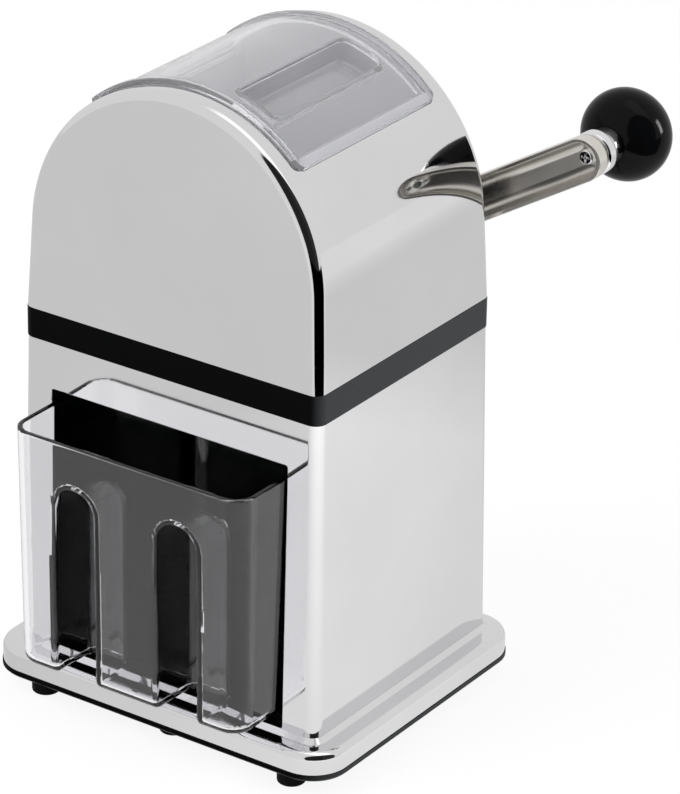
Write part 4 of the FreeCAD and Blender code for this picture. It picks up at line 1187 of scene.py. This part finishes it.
class OBJECT_OT_crusher_drawer(bpy.types.Operator):
    """Clear drawer with two finger tunnels"""

    bl_idname = "crusher.drawer"
    bl_label = "Drawer"

    def execute(self, context):
        cell = context.scene.crusher_drawer.detail / MM
        margin = 2 * cell
        low = [(DRAWER_LOW.x - CENTRE_X) / MM - margin, (DRAWER_LOW.y - CENTRE_Y) / MM - margin,
               DRAWER_LOW.z / MM - margin]
        high = [(DRAWER_HIGH.x - CENTRE_X) / MM + margin, (DRAWER_HIGH.y - CENTRE_Y) / MM + margin,
                DRAWER_HIGH.z / MM + margin]
        piece = moulded("drawer_cup", drawer_field, low, high, cell, straight_place)
        finish_piece(piece, drawer_clear(), "drawer_body", "smoke_clear", "drawer")
        return {"FINISHED"}


class OBJECT_OT_crusher_lid(bpy.types.Operator):
    """Clear arched lid with rim, recess, finger pocket and hinge knuckle"""

    bl_idname = "crusher.lid"
    bl_label = "Lid"

    def execute(self, context):
        lid = context.scene.crusher_lid
        cell = lid.detail / MM
        reach = lid.half_angle * context.scene.crusher_housing.arch_radius / MM + 2 * cell
        half = lid.depth / MM / 2 + 2 * cell
        deepest = lid.pocket_depth + lid.pocket_wall + lid.recess - lid.proud
        low = [-reach, -half, -deepest / MM - 2 * cell]
        high = [reach, half, lid.proud / MM + 2 * cell]
        piece = moulded("lid_cover", lid_field, low, high, cell, arched_place)
        finish_piece(piece, lid_clear(), "lid_body", "clear_lid", "lid")
        return {"FINISHED"}


# Crank, knob and fittings


def stadium(inset, y, arm_half):
    """Outline of the arm at a depth, from the pivot's centre to the screw's."""
    start = Vector((CENTRE_X, y, AXIS_Z))
    end = Vector((KNOB_AXIS.x, y, KNOB_AXIS.z))
    along = (end - start).normalized()
    across = Vector((-along.z, 0, along.x))
    points = []
    for centre, first in ((end, -QUARTER), (start, QUARTER)):
        for i in range(25):
            angle = first + HALF_TURN * i / 24
            spoke = along * math.cos(angle) + across * math.sin(angle)
            points.append((centre + spoke * (arm_half - inset), spoke))
    return points


class OBJECT_OT_crusher_crank(bpy.types.Operator):
    """Pressed channel arm with its nut, collar, washer, ferrule and knob screw"""

    bl_idname = "crusher.crank"
    bl_label = "Crank"

    def execute(self, context):
        crank = context.scene.crusher_crank
        self.arm(crank)
        self.fittings(crank)
        return {"FINISHED"}

    def arm(self, crank):
        skin = Skin()
        half = crank.arm_width / 2
        sheet = crank.arm_sheet
        near, far = ARM_LOW.y, ARM_HIGH.y
        lip = ARM_LIP
        bend = crank.arm_bend
        outside = [(lip - u, v, a, b) for u, v, a, b in arc(0, near + lip, lip, -QUARTER, 0, 4)]
        outside += [(bend - u, v, a, b) for u, v, a, b in arc(0, far - bend, bend, 0, QUARTER, 8)]
        trough = crank.arm_trough
        floor = far - sheet
        inside = [(sheet + lip * (math.sin(t) - 1), near + lip * (1 - math.cos(t)),
                   -math.sin(t), -math.cos(t)) for t in (QUARTER * i / 4 for i in range(5))]
        hollow = [(sheet + trough * (1 - math.cos(t)), floor - trough * (1 - math.sin(t)),
                   -math.cos(t), -math.sin(t)) for t in (QUARTER * i / 8 for i in range(9))]
        for profile in (outside, inside, hollow):
            self.sweep(skin, profile, half)
        self.sweep(skin, [inside[-1], hollow[0]], half)
        self.sweep(skin, [(outside[0][0], near, 0, -1), (inside[0][0], near, 0, -1)], half)
        skin.flat([p for p, n in stadium(bend, far, half)], (0, 1, 0))
        skin.flat([p for p, n in stadium(sheet + trough, floor, half)], (0, -1, 0))
        hub_r = half - sheet - HUB_PLAY
        pivot = Vector((CENTRE_X, 0, AXIS_Z))
        turned(skin, [straight(hub_r, near + HUB_PLAY, hub_r, floor)], pivot, (0, 1, 0))
        disc(skin, pivot + Vector((0, near + HUB_PLAY, 0)), (0, 1, 0), hub_r, -1)
        piece = skin.piece("crank_channel")
        finish_piece(piece, arm_nickel(), "crank_body", "nickel", "crank_arm")

    def sweep(self, skin, profile, half):
        rows = []
        for inset, y, out, up in profile:
            lift = Vector((0, up, 0))
            rows.append([(place, spoke * out + lift) for place, spoke in stadium(inset, y, half)])
        skin.grid(rows, closed=True)

    def fittings(self, crank):
        along = (0, 1, 0)
        pivot = Vector((CENTRE_X, 0, AXIS_Z))
        screw = Vector((KNOB_AXIS.x, 0, KNOB_AXIS.z))
        for node, body, centre, low, high, edge, bore in (
                ("knob_washer", "crank_body", screw, WASHER_LOW, WASHER_HIGH, 1.0 * MM, SCREW_BORE),
                ("knob_ferrule", "knob_body", screw, FERRULE_LOW, FERRULE_HIGH, 0.8 * MM, SCREW_BORE),
                ("rear_collar", "housing", pivot, COLLAR_LOW, COLLAR_HIGH, 1.4 * MM, SHAFT_BORE)):
            self.ring(node, body, centre, low, high, edge, bore)
        self.nut(pivot, along)
        self.knob_screw(screw, crank)

    def ring(self, node, body, centre, low, high, edge, bore):
        """Turned ring with rounded edges on both ends, in its node's box."""
        skin = Skin()
        near, far = low.y, high.y
        radius = (high.x - low.x) / 2
        small = min(edge, (far - near) / 2.2)
        profile = arc(radius - small, near + small, small, -QUARTER, 0, 6)
        profile += arc(radius - small, far - small, small, 0, QUARTER, 6)
        ends = [[(bore, near, 0, -1), (radius - small, near, 0, -1)],
                [(radius - small, far, 0, 1), (bore, far, 0, 1)],
                [(bore, far, -1, 0), (bore, near, -1, 0)]]
        turned(skin, [profile] + ends, centre, (0, 1, 0))
        piece = skin.piece(node + "_ring")
        finish_piece(piece, plate_chrome(), body, "chrome", node)

    def nut(self, pivot, along):
        """Six sided nut with a domed end."""
        skin = Skin()
        near, far = NUT_LOW.y, NUT_HIGH.y
        step = near + (far - near) * 0.65
        across = NUT_RADIUS
        turn = math.atan2(KNOB_AXIS.z - AXIS_Z, KNOB_AXIS.x - CENTRE_X)
        angles = [turn + i * HALF_TURN / 3 for i in range(6)]
        corners = [Vector((math.cos(t), 0, math.sin(t))) * across for t in angles]
        for i in range(6):
            a, b = corners[i], corners[(i + 1) % 6]
            face = [pivot + a + Vector((0, near, 0)), pivot + b + Vector((0, near, 0)),
                    pivot + b + Vector((0, step, 0)), pivot + a + Vector((0, step, 0))]
            skin.face(face, [a + b] * 4)
        dome_r = across * 0.84
        top = [pivot + c + Vector((0, step, 0)) for c in corners]
        foot = disc(Skin(), pivot + Vector((0, step, 0)), along, dome_r, 1)
        skin.flat(top, along, [foot])
        skin.flat([pivot + c + Vector((0, near, 0)) for c in corners], (0, -1, 0))
        rise = far - step
        dome = [(dome_r * math.cos(t), step + rise * math.sin(t), math.cos(t) * rise, math.sin(t) * dome_r)
                for t in (QUARTER * i / 10 for i in range(10))]
        turned(skin, [dome], pivot, along)
        last = dome[-1]
        disc(skin, pivot + Vector((0, last[1], 0)), along, last[0], 1)
        piece = skin.piece("crank_dome_nut")
        finish_piece(piece, plate_chrome(), "crank_body", "chrome", "crank_nut")

    def knob_screw(self, screw, crank):
        """Pan head in the channel, with a cross recess."""
        skin = Skin()
        face = ARM_HIGH.y - crank.arm_sheet
        pan_head(skin, Matrix.Translation(screw + Vector((0, face, 0))) @ Matrix.Rotation(QUARTER, 4, "X"),
                 KNOB_SCREW_HEAD_R, KNOB_SCREW_HEAD_H)
        shank_r = KNOB_SCREW_R
        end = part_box("knob_screw")[1].y
        turned(skin, [straight(shank_r, face, shank_r, end)], screw, (0, 1, 0), 32)
        disc(skin, screw + Vector((0, end, 0)), (0, 1, 0), shank_r, 1, 32)
        piece = skin.piece("knob_pan_screw")
        finish_piece(piece, plate_chrome(), "crank_body", "nickel", "knob_screw")


def pan_head(skin, matrix, radius, height):
    """Domed screw head on local +Z with a cross recess sunk into it."""
    turn = matrix.to_3x3()
    arm_half = radius * 0.14
    reach = radius * 0.55
    depth = height * 0.5
    cross = [(reach, -arm_half), (reach, arm_half), (arm_half, arm_half), (arm_half, reach),
             (-arm_half, reach), (-arm_half, arm_half), (-reach, arm_half), (-reach, -arm_half),
             (-arm_half, -arm_half), (-arm_half, -reach), (arm_half, -reach), (arm_half, -arm_half)]
    flat_r = radius * 0.68

    def put(x, y, z):
        return matrix @ Vector((x, y, z))

    steps = 32
    rows = []
    edge = radius - flat_r
    rise = height * 0.75
    levels = [(radius, 0, 1, 0), (radius, height - rise, 1, 0)]
    levels += [(flat_r + edge * math.cos(t), height - rise + rise * math.sin(t), math.cos(t) * rise,
                math.sin(t) * edge) for t in (QUARTER * i / 6 for i in range(1, 7))]
    for r, z, out, up in levels:
        row = []
        for i in range(steps):
            c, s = math.cos(2 * HALF_TURN * i / steps), math.sin(2 * HALF_TURN * i / steps)
            row.append((put(r * c, r * s, z), turn @ Vector((out * c, out * s, up))))
        rows.append(row)
    skin.grid(rows, closed=True)
    mouth = [put(x, y, height) for x, y in cross]
    skin.flat(ring_points(rows[-1]), turn @ Vector((0, 0, 1)), [mouth])
    tip = [put(x * 0.55, y * 0.55, height - depth) for x, y in cross]
    count = len(cross)
    for i in range(count):
        j = (i + 1) % count
        corners = [mouth[i], mouth[j], tip[j], tip[i]]
        inward = (tip[i] + tip[j] - mouth[i] - mouth[j]).cross(mouth[j] - mouth[i])
        middle = put(0, 0, height) - (mouth[i] + mouth[j]) / 2
        if inward.dot(middle) < 0:
            inward = -inward
        skin.face(corners, [inward] * 4)
    skin.flat(tip, turn @ Vector((0, 0, 1)))


class OBJECT_OT_crusher_knob(bpy.types.Operator):
    """Glossy black grip"""

    bl_idname = "crusher.knob"
    bl_label = "Knob"

    def execute(self, context):
        skin = Skin()
        radius = (KNOB_HIGH.x - KNOB_LOW.x) / 2
        half = KNOB_HALF
        side_r = KNOB_SIDE_R
        end_r = (radius ** 2 + half ** 2 - 2 * radius * side_r) / (2 * (half - side_r))
        middle = KNOB_HIGH.y - half
        join = math.atan2(end_r - half, radius - side_r)
        face = -math.acos(KNOB_FACE_R / end_r)
        front = arc(0, middle + end_r - half, end_r, face, -join, 16)
        side = arc(radius - side_r, middle, side_r, -join, join, 32)
        back = arc(0, middle - (end_r - half), end_r, join, QUARTER - 0.02, 20)
        centre = Vector((KNOB_AXIS.x, 0, KNOB_AXIS.z))
        turned(skin, [front, side, back], centre, (0, 1, 0), 96)
        disc(skin, centre + Vector((0, front[0][1], 0)), (0, 1, 0), front[0][0], -1, 96)
        disc(skin, centre + Vector((0, back[-1][1], 0)), (0, 1, 0), back[-1][0], 1, 96)
        piece = skin.piece("knob_grip")
        finish_piece(piece, knob_black(), "knob_body", "black_gloss", "knob")
        return {"FINISHED"}


# Repeated pieces


def repeat_tree(name, tilt):
    """Node tree that sets one master piece on each point and joins the copies."""
    tree = bpy.data.node_groups.new(name, "GeometryNodeTree")
    for socket, side, kind in (("Geometry", "INPUT", "Geometry"), ("Master", "INPUT", "Object"),
                               ("Size", "INPUT", "Float"), ("Finish", "INPUT", "Material"),
                               ("Geometry", "OUTPUT", "Geometry")):
        tree.interface.new_socket(socket, in_out=side, socket_type="NodeSocket" + kind)
    start, end, info, points, copies, real, finish = [tree.nodes.new(kind) for kind in (
        "NodeGroupInput", "NodeGroupOutput", "GeometryNodeObjectInfo", "GeometryNodeMeshToPoints",
        "GeometryNodeInstanceOnPoints", "GeometryNodeRealizeInstances", "GeometryNodeSetMaterial")]
    copies.inputs["Rotation"].default_value = tilt
    join = tree.links.new
    join(start.outputs["Geometry"], points.inputs["Mesh"])
    join(start.outputs["Master"], info.inputs["Object"])
    join(start.outputs["Size"], copies.inputs["Scale"])
    join(points.outputs["Points"], copies.inputs["Points"])
    join(info.outputs["Geometry"], copies.inputs["Instance"])
    join(copies.outputs["Instances"], real.inputs["Geometry"])
    join(real.outputs["Geometry"], finish.inputs["Geometry"])
    join(start.outputs["Finish"], finish.inputs["Material"])
    join(finish.outputs["Geometry"], end.inputs["Geometry"])
    return tree


def repeated(name, places, master, material, tilt=(0, 0, 0)):
    """Copies of a master piece on given places, as one plain mesh."""
    cloud = bpy.data.meshes.new(name + "_places")
    cloud.from_pydata([tuple(place) for place in places], [], [])
    carrier = link(name + "_carrier", cloud)
    tree = repeat_tree(name + "_tree", tilt)
    modifier = carrier.modifiers.new("Repeat", "NODES")
    modifier.node_group = tree
    sockets = {item.name: item.identifier for item in tree.interface.items_tree if item.in_out == "INPUT"}
    modifier[sockets["Master"]] = master
    modifier[sockets["Size"]] = 1.0
    modifier[sockets["Finish"]] = material
    bpy.context.view_layer.update()
    graph = bpy.context.evaluated_depsgraph_get()
    mesh = bpy.data.meshes.new_from_object(carrier.evaluated_get(graph), depsgraph=graph)
    mesh.name = name
    carrier.modifiers.clear()
    bpy.data.objects.remove(carrier)
    return link(name, mesh)


def islands(node):
    """Boxes of the separate solids of a node."""
    mesh = bmesh.new()
    mesh.from_mesh(frame["nodes"][node].data)
    bmesh.ops.remove_doubles(mesh, verts=mesh.verts, dist=WELD)
    left = set(mesh.verts)
    boxes = []
    while left:
        stack = [left.pop()]
        group = []
        while stack:
            vert = stack.pop()
            group.append(vert.co.copy())
            for edge in vert.link_edges:
                other = edge.other_vert(vert)
                if other in left:
                    left.remove(other)
                    stack.append(other)
        low = Vector([min(co[i] for co in group) for i in range(3)])
        high = Vector([max(co[i] for co in group) for i in range(3)])
        boxes.append((low, high))
    mesh.free()
    return sorted(boxes, key=lambda pair: tuple(round(value, 5) for value in pair[0]))


def screw_master(name, head_r, head_h, shank_r, shank_l):
    """Pan head screw that points down from its head's seat at the origin."""
    skin = Skin()
    pan_head(skin, Matrix.Identity(4), head_r, head_h)
    turned(skin, [straight(shank_r, -shank_l, shank_r, 0)], (0, 0, 0), (0, 0, 1), 24)
    disc(skin, (0, 0, -shank_l), (0, 0, 1), shank_r, -1, 24)
    return skin.piece(name)


class OBJECT_OT_crusher_fasteners(bpy.types.Operator):
    """Screws and feet, set by their own node trees"""

    bl_idname = "crusher.fasteners"
    bl_label = "Screws and feet"

    def execute(self, context):
        for node, head_down in (("base_screws", True), ("housing_screws", True),
                                ("tie_screws", True), ("comb_screws", False)):
            self.screws(node, head_down)
        self.feet()
        return {"FINISHED"}

    def screws(self, node, head_down):
        boxes = islands(node)
        low, high = boxes[0]
        head_r = (high.x - low.x) / 2
        head_h = SCREW_HEAD
        shank_r = TIE_SHANK if node == "tie_screws" else SCREW_SHANK
        master = screw_master(node + "_master", head_r, head_h, shank_r, high.z - low.z - head_h)
        places = []
        for low, high in boxes:
            z = low.z + head_h if head_down else high.z - head_h
            places.append(((low.x + high.x) / 2, (low.y + high.y) / 2, z))
        tilt = (HALF_TURN, 0, 0) if head_down else (0, 0, 0)
        piece = repeated(node + "_set", places, master, screw_zinc(), tilt)
        bpy.data.objects.remove(master)
        finish_piece(piece, screw_zinc(), "housing", "zinc", node)

    def feet(self):
        boxes = islands("rubber_feet")
        low, high = boxes[0]
        radius = (high.x - low.x) / 2
        height = high.z - low.z
        edge = 1.0 * MM
        skin = Skin()
        side = arc(radius - edge, edge, edge, -QUARTER, 0, 6) + [(radius, height, 1, 0)]
        turned(skin, [side], (0, 0, 0), (0, 0, 1), 40)
        disc(skin, (0, 0, height), (0, 0, 1), radius, 1, 40)
        hollow_r = radius * 0.45
        hollow_h = 0.8 * MM
        turned(skin, [[(radius - edge, 0, 0, -1), (hollow_r, 0, 0, -1)],
                      [(hollow_r, 0, -1, 0), (hollow_r, hollow_h, -1, 0)]], (0, 0, 0), (0, 0, 1), 40)
        disc(skin, (0, 0, hollow_h), (0, 0, 1), hollow_r, -1, 40)
        master = skin.piece("foot_master")
        places = [((a.x + b.x) / 2, (a.y + b.y) / 2, a.z) for a, b in boxes]
        piece = repeated("rubber_feet_set", places, master, foot_rubber())
        bpy.data.objects.remove(master)
        finish_piece(piece, foot_rubber(), "housing", "rubber", "rubber_feet")


# Inner pieces that keep their frame shape


class OBJECT_OT_crusher_inner_pieces(bpy.types.Operator):
    """Finishes for the rotor, combs, bushes, bay and hopper"""

    bl_idname = "crusher.inner_pieces"
    bl_label = "Inner pieces"

    def execute(self, context):
        finishes = {
            "crank_shaft": rotor_steel, "rotor_spacers": rotor_steel, "rotor_pin": rotor_steel,
            "comb_left": rotor_steel, "comb_right": rotor_steel, "lid_pins": rotor_steel,
            "front_bearing": bush_bronze, "rear_bearing": bush_bronze,
            "drawer_bay": bay_black, "hopper": hopper_clear,
        }
        for node in frame["nodes"]:
            if node.startswith("cutter_"):
                finishes[node] = rotor_steel
        for node, finish in finishes.items():
            mesh = frame["nodes"][node].data
            mesh.materials.clear()
            mesh.materials.append(finish())
        return {"FINISHED"}


# Stage


class OBJECT_OT_crusher_stage(bpy.types.Operator):
    """Pale floor, soft lamps, the room that the polish mirrors, and the camera"""

    bl_idname = "crusher.stage"
    bl_label = "Stage"

    def execute(self, context):
        studio = context.scene.crusher_studio
        context.scene.view_settings.view_transform = "Standard"
        self.world(context, studio)
        self.floor()
        self.lamps(studio)
        self.camera(context, studio)
        return {"FINISHED"}

    def seen(self, tree):
        """1 for rays from the camera and for those off metal and through clear plastic."""
        path = tree.nodes.new("ShaderNodeLightPath")
        total = path.outputs["Is Camera Ray"]
        for name in ("Is Glossy Ray", "Is Transmission Ray"):
            total = self.math(tree, "MAXIMUM", total, path.outputs[name])
        return total

    def only_mirrored(self, tree, strength):
        """A strength for rays off a surface, and 1 for all others, also those inside clear plastic."""
        path = tree.nodes.new("ShaderNodeLightPath")
        outside = self.math(tree, "LESS_THAN", path.outputs["Transmission Depth"], 0.5)
        mix = tree.nodes.new("ShaderNodeMix")
        mix.inputs[2].default_value = 1.0
        tree.links.new(self.math(tree, "MULTIPLY", path.outputs["Is Glossy Ray"], outside), mix.inputs[0])
        tree.links.new(strength, mix.inputs[3])
        return mix.outputs[0]

    def along(self, tree, source, direction):
        """How far a place or a direction lies along a given direction."""
        node = tree.nodes.new("ShaderNodeVectorMath")
        node.operation = "DOT_PRODUCT"
        node.inputs[1].default_value = direction
        tree.links.new(source, node.inputs[0])
        return node.outputs["Value"]

    def math(self, tree, operation, first, second=0.0):
        node = tree.nodes.new("ShaderNodeMath")
        node.operation = operation
        for socket, value in zip(node.inputs, (first, second)):
            if isinstance(value, float):
                socket.default_value = value
            else:
                tree.links.new(value, socket)
        return node.outputs[0]

    def world(self, context, studio):
        """White for the eye; in the polish a grey room with a bright strip and a dark patch."""
        world = bpy.data.worlds.new("Studio")
        context.scene.world = world
        world.use_nodes = True
        tree = world.node_tree
        light = tree.nodes["Background"]
        light.inputs["Color"].default_value = (1, 1, 1, 1)
        light.inputs["Strength"].default_value = studio.ambient
        white = tree.nodes.new("ShaderNodeBackground")
        white.inputs["Color"].default_value = (1, 1, 1, 1)
        direction = tree.nodes.new("ShaderNodeTexCoord").outputs["Generated"]
        off_strip = self.math(tree, "ABSOLUTE", self.along(tree, direction, self.heading(STRIP_TURN, 0)))
        strip = map_range(tree, off_strip, studio.strip - studio.room, 0.0, *STRIP_EDGE)
        to_right = self.along(tree, direction, self.heading(STRIP_TURN - 90, 0))
        right_half = map_range(tree, to_right, 0.0, 1.0, *STRIP_END)
        room = self.math(tree, "MULTIPLY_ADD", strip, right_half)
        room.node.inputs[2].default_value = studio.room
        into_dark = self.along(tree, direction, self.heading(DARK_TURN, DARK_RISE))
        left = map_range(tree, into_dark, 1.0, 0.02, *DARK_EDGE)
        strength = self.math(tree, "MULTIPLY", room, left)
        tree.links.new(self.only_mirrored(tree, strength), white.inputs["Strength"])
        mix = tree.nodes.new("ShaderNodeMixShader")
        tree.links.new(self.seen(tree), mix.inputs[0])
        tree.links.new(light.outputs[0], mix.inputs[1])
        tree.links.new(white.outputs[0], mix.inputs[2])
        tree.links.new(mix.outputs[0], tree.nodes["World Output"].inputs["Surface"])

    def heading(self, turn, rise):
        """Direction by its angle from straight ahead towards the right, and above level."""
        turn = math.radians(turn)
        rise = math.radians(rise)
        return Vector((math.sin(turn) * math.cos(rise), -math.cos(turn) * math.cos(rise), math.sin(rise)))

    def table(self, tree, studio):
        """Glow of the floor in the polish: bright near the right side, dark past the table's edge."""
        place = tree.nodes.new("ShaderNodeTexCoord").outputs["Object"]
        corner = Vector((BODY_HIGH.x, BODY_LOW.y, 0))
        from_corner = tree.nodes.new("ShaderNodeVectorMath")
        from_corner.operation = "SUBTRACT"
        from_corner.inputs[1].default_value = corner
        tree.links.new(place, from_corner.inputs[0])
        ahead = self.along(tree, from_corner.outputs[0], self.heading(TABLE_TURN, 0))
        across = self.along(tree, from_corner.outputs[0], self.heading(TABLE_TURN + 90, 0))
        aside = self.math(tree, "ABSOLUTE", across)
        far = tree.nodes.new("ShaderNodeVectorMath")
        far.operation = "LENGTH"
        tree.links.new(from_corner.outputs[0], far.inputs[0])
        rising = map_range(tree, ahead, studio.far_glow - 0.02, studio.near_glow, *TABLE_RISE)
        fading = map_range(tree, far.outputs["Value"], 1.0, 0.7, *TABLE_FADE)
        glow = self.math(tree, "MAXIMUM", self.math(tree, "MULTIPLY", rising, fading), studio.far_glow)
        spread = self.math(tree, "DIVIDE", aside, ahead)
        past = map_range(tree, ahead, 0.0, 1.0, *TABLE_END)
        between = map_range(tree, spread, 1.0, 0.0, *TABLE_SPREAD)
        dark = self.math(tree, "MULTIPLY", past, between)
        left = self.math(tree, "SUBTRACT", 1.0, dark)
        return self.math(tree, "MULTIPLY", glow, left)

    def floor(self):
        size = 6.0
        corners = [(-size, -size, 0), (size, -size, 0), (size, size, 0), (-size, size, 0)]
        mesh = bpy.data.meshes.new("studio_floor")
        mesh.from_pydata(corners, [], [(0, 1, 2, 3)])
        floor = link("studio_floor", mesh)
        material = bpy.data.materials.new("Pale floor")
        material.use_nodes = True
        tree = material.node_tree
        bsdf = tree.nodes["Principled BSDF"]
        bsdf.inputs["Base Color"].default_value = (0.85, 0.85, 0.85, 1)
        bsdf.inputs["Roughness"].default_value = 0.9
        bsdf.inputs["Specular IOR Level"].default_value = 0.0
        glow = tree.nodes.new("ShaderNodeEmission")
        strength = self.table(tree, bpy.context.scene.crusher_studio)
        tree.links.new(self.only_mirrored(tree, strength), glow.inputs["Strength"])
        mix = tree.nodes.new("ShaderNodeMixShader")
        path = tree.nodes.new("ShaderNodeLightPath")
        eye = self.math(tree, "MULTIPLY", self.seen(tree), 0.9)
        share = self.math(tree, "MAXIMUM", eye, path.outputs["Is Glossy Ray"])
        tree.links.new(share, mix.inputs[0])
        tree.links.new(bsdf.outputs[0], mix.inputs[1])
        tree.links.new(glow.outputs[0], mix.inputs[2])
        tree.links.new(mix.outputs[0], tree.nodes["Material Output"].inputs["Surface"])
        mesh.materials.append(material)

    def lamp(self, name, place, target, size, power, glossy):
        light = bpy.data.lights.new(name, "AREA")
        light.shape = "RECTANGLE"
        light.size, light.size_y = size
        light.energy = power
        lamp = bpy.data.objects.new(name, light)
        bpy.context.scene.collection.objects.link(lamp)
        lamp.location = place
        lamp.rotation_euler = (Vector(target) - Vector(place)).to_track_quat("-Z", "Y").to_euler()
        lamp.visible_glossy = glossy
        lamp.visible_transmission = False
        return lamp

    def lamps(self, studio):
        middle = (CENTRE_X, CENTRE_Y, 0.13)
        self.lamp("key_lamp", (-0.7, -1.1, 1.5), middle, (1.0, 1.0), studio.key_power, False)
        self.lamp("side_lamp", (1.3, 0.1, 1.0), middle, (0.8, 1.0), studio.key_power * 0.4, False)
        rim = self.lamp("rim_lamp", (1.25, 0.35, 0.3), middle, (0.5, 0.5), studio.rim_power, False)
        self.only_light(rim, "band_frame", "base_plate_sheet")
        window = self.lamp("window_lamp", (1.2, 0.75, 0.6), tuple(KNOB_AXIS), (0.26, 0.6),
                           studio.window_power, True)
        self.only_light(window, "knob_grip")

    def only_light(self, lamp, *names):
        """Limits a lamp to the named pieces."""
        lit = bpy.data.collections.new(lamp.name + "_pieces")
        for name in names:
            lit.objects.link(bpy.data.objects[name])
        lamp.light_linking.receiver_collection = lit

    def camera(self, context, studio):
        data = bpy.data.cameras.new("photo_camera")
        camera = bpy.data.objects.new("photo_camera", data)
        context.scene.collection.objects.link(camera)
        data.lens = studio.lens
        data.sensor_width = 36
        data.clip_end = 50
        back = Vector((math.sin(studio.yaw) * math.cos(studio.pitch),
                       -math.cos(studio.yaw) * math.cos(studio.pitch), math.sin(studio.pitch)))
        right = Vector((math.cos(studio.yaw), math.sin(studio.yaw), 0))
        up = back.cross(right)
        turn = Matrix((right, up, back)).transposed() @ Matrix.Rotation(studio.roll, 3, "Z")
        place = Vector(CAMERA_PLACE) * MM + Vector((CENTRE_X, CENTRE_Y, 0))
        camera.matrix_world = Matrix.Translation(place) @ turn.to_4x4()
        context.scene.camera = camera


class VIEW3D_PT_crusher(bpy.types.Panel):
    """Buttons for each piece and the settings that shape them"""

    bl_idname = "VIEW3D_PT_crusher"
    bl_label = "Ice crusher"
    bl_space_type = "VIEW_3D"
    bl_region_type = "UI"
    bl_category = "Crusher"

    def draw(self, context):
        layout = self.layout
        for operator in OPERATORS:
            layout.operator(operator.bl_idname)
        for name in GROUPS:
            column = layout.column()
            settings = getattr(context.scene, name)
            for key in settings.bl_rna.properties.keys():
                if key not in ("rna_type", "name"):
                    column.prop(settings, key)


GROUPS = {
    "crusher_finish": CrusherFinish,
    "crusher_housing": CrusherHousing,
    "crusher_lid": CrusherLid,
    "crusher_drawer": CrusherDrawer,
    "crusher_crank": CrusherCrank,
    "crusher_studio": CrusherStudio,
}

OPERATORS = (
    OBJECT_OT_crusher_lower_housing,
    OBJECT_OT_crusher_upper_housing,
    OBJECT_OT_crusher_plinth,
    OBJECT_OT_crusher_band,
    OBJECT_OT_crusher_drawer,
    OBJECT_OT_crusher_lid,
    OBJECT_OT_crusher_crank,
    OBJECT_OT_crusher_knob,
    OBJECT_OT_crusher_fasteners,
    OBJECT_OT_crusher_inner_pieces,
    OBJECT_OT_crusher_stage,
)


def register():
    for group in GROUPS.values():
        bpy.utils.register_class(group)
    for name, group in GROUPS.items():
        setattr(bpy.types.Scene, name, bpy.props.PointerProperty(type=group))
    for operator in OPERATORS:
        bpy.utils.register_class(operator)
    bpy.utils.register_class(VIEW3D_PT_crusher)


def unregister():
    bpy.utils.unregister_class(VIEW3D_PT_crusher)
    for operator in reversed(OPERATORS):
        bpy.utils.unregister_class(operator)
    for name, group in GROUPS.items():
        delattr(bpy.types.Scene, name)
        bpy.utils.unregister_class(group)


def main():
    register()
    bpy.ops.crusher.lower_housing()
    bpy.ops.crusher.upper_housing()
    bpy.ops.crusher.plinth()
    bpy.ops.crusher.band()
    bpy.ops.crusher.drawer()
    bpy.ops.crusher.lid()
    bpy.ops.crusher.crank()
    bpy.ops.crusher.knob()
    bpy.ops.crusher.fasteners()
    bpy.ops.crusher.inner_pieces()
    bpy.ops.crusher.stage()


if __name__ == "__main__":
    main()
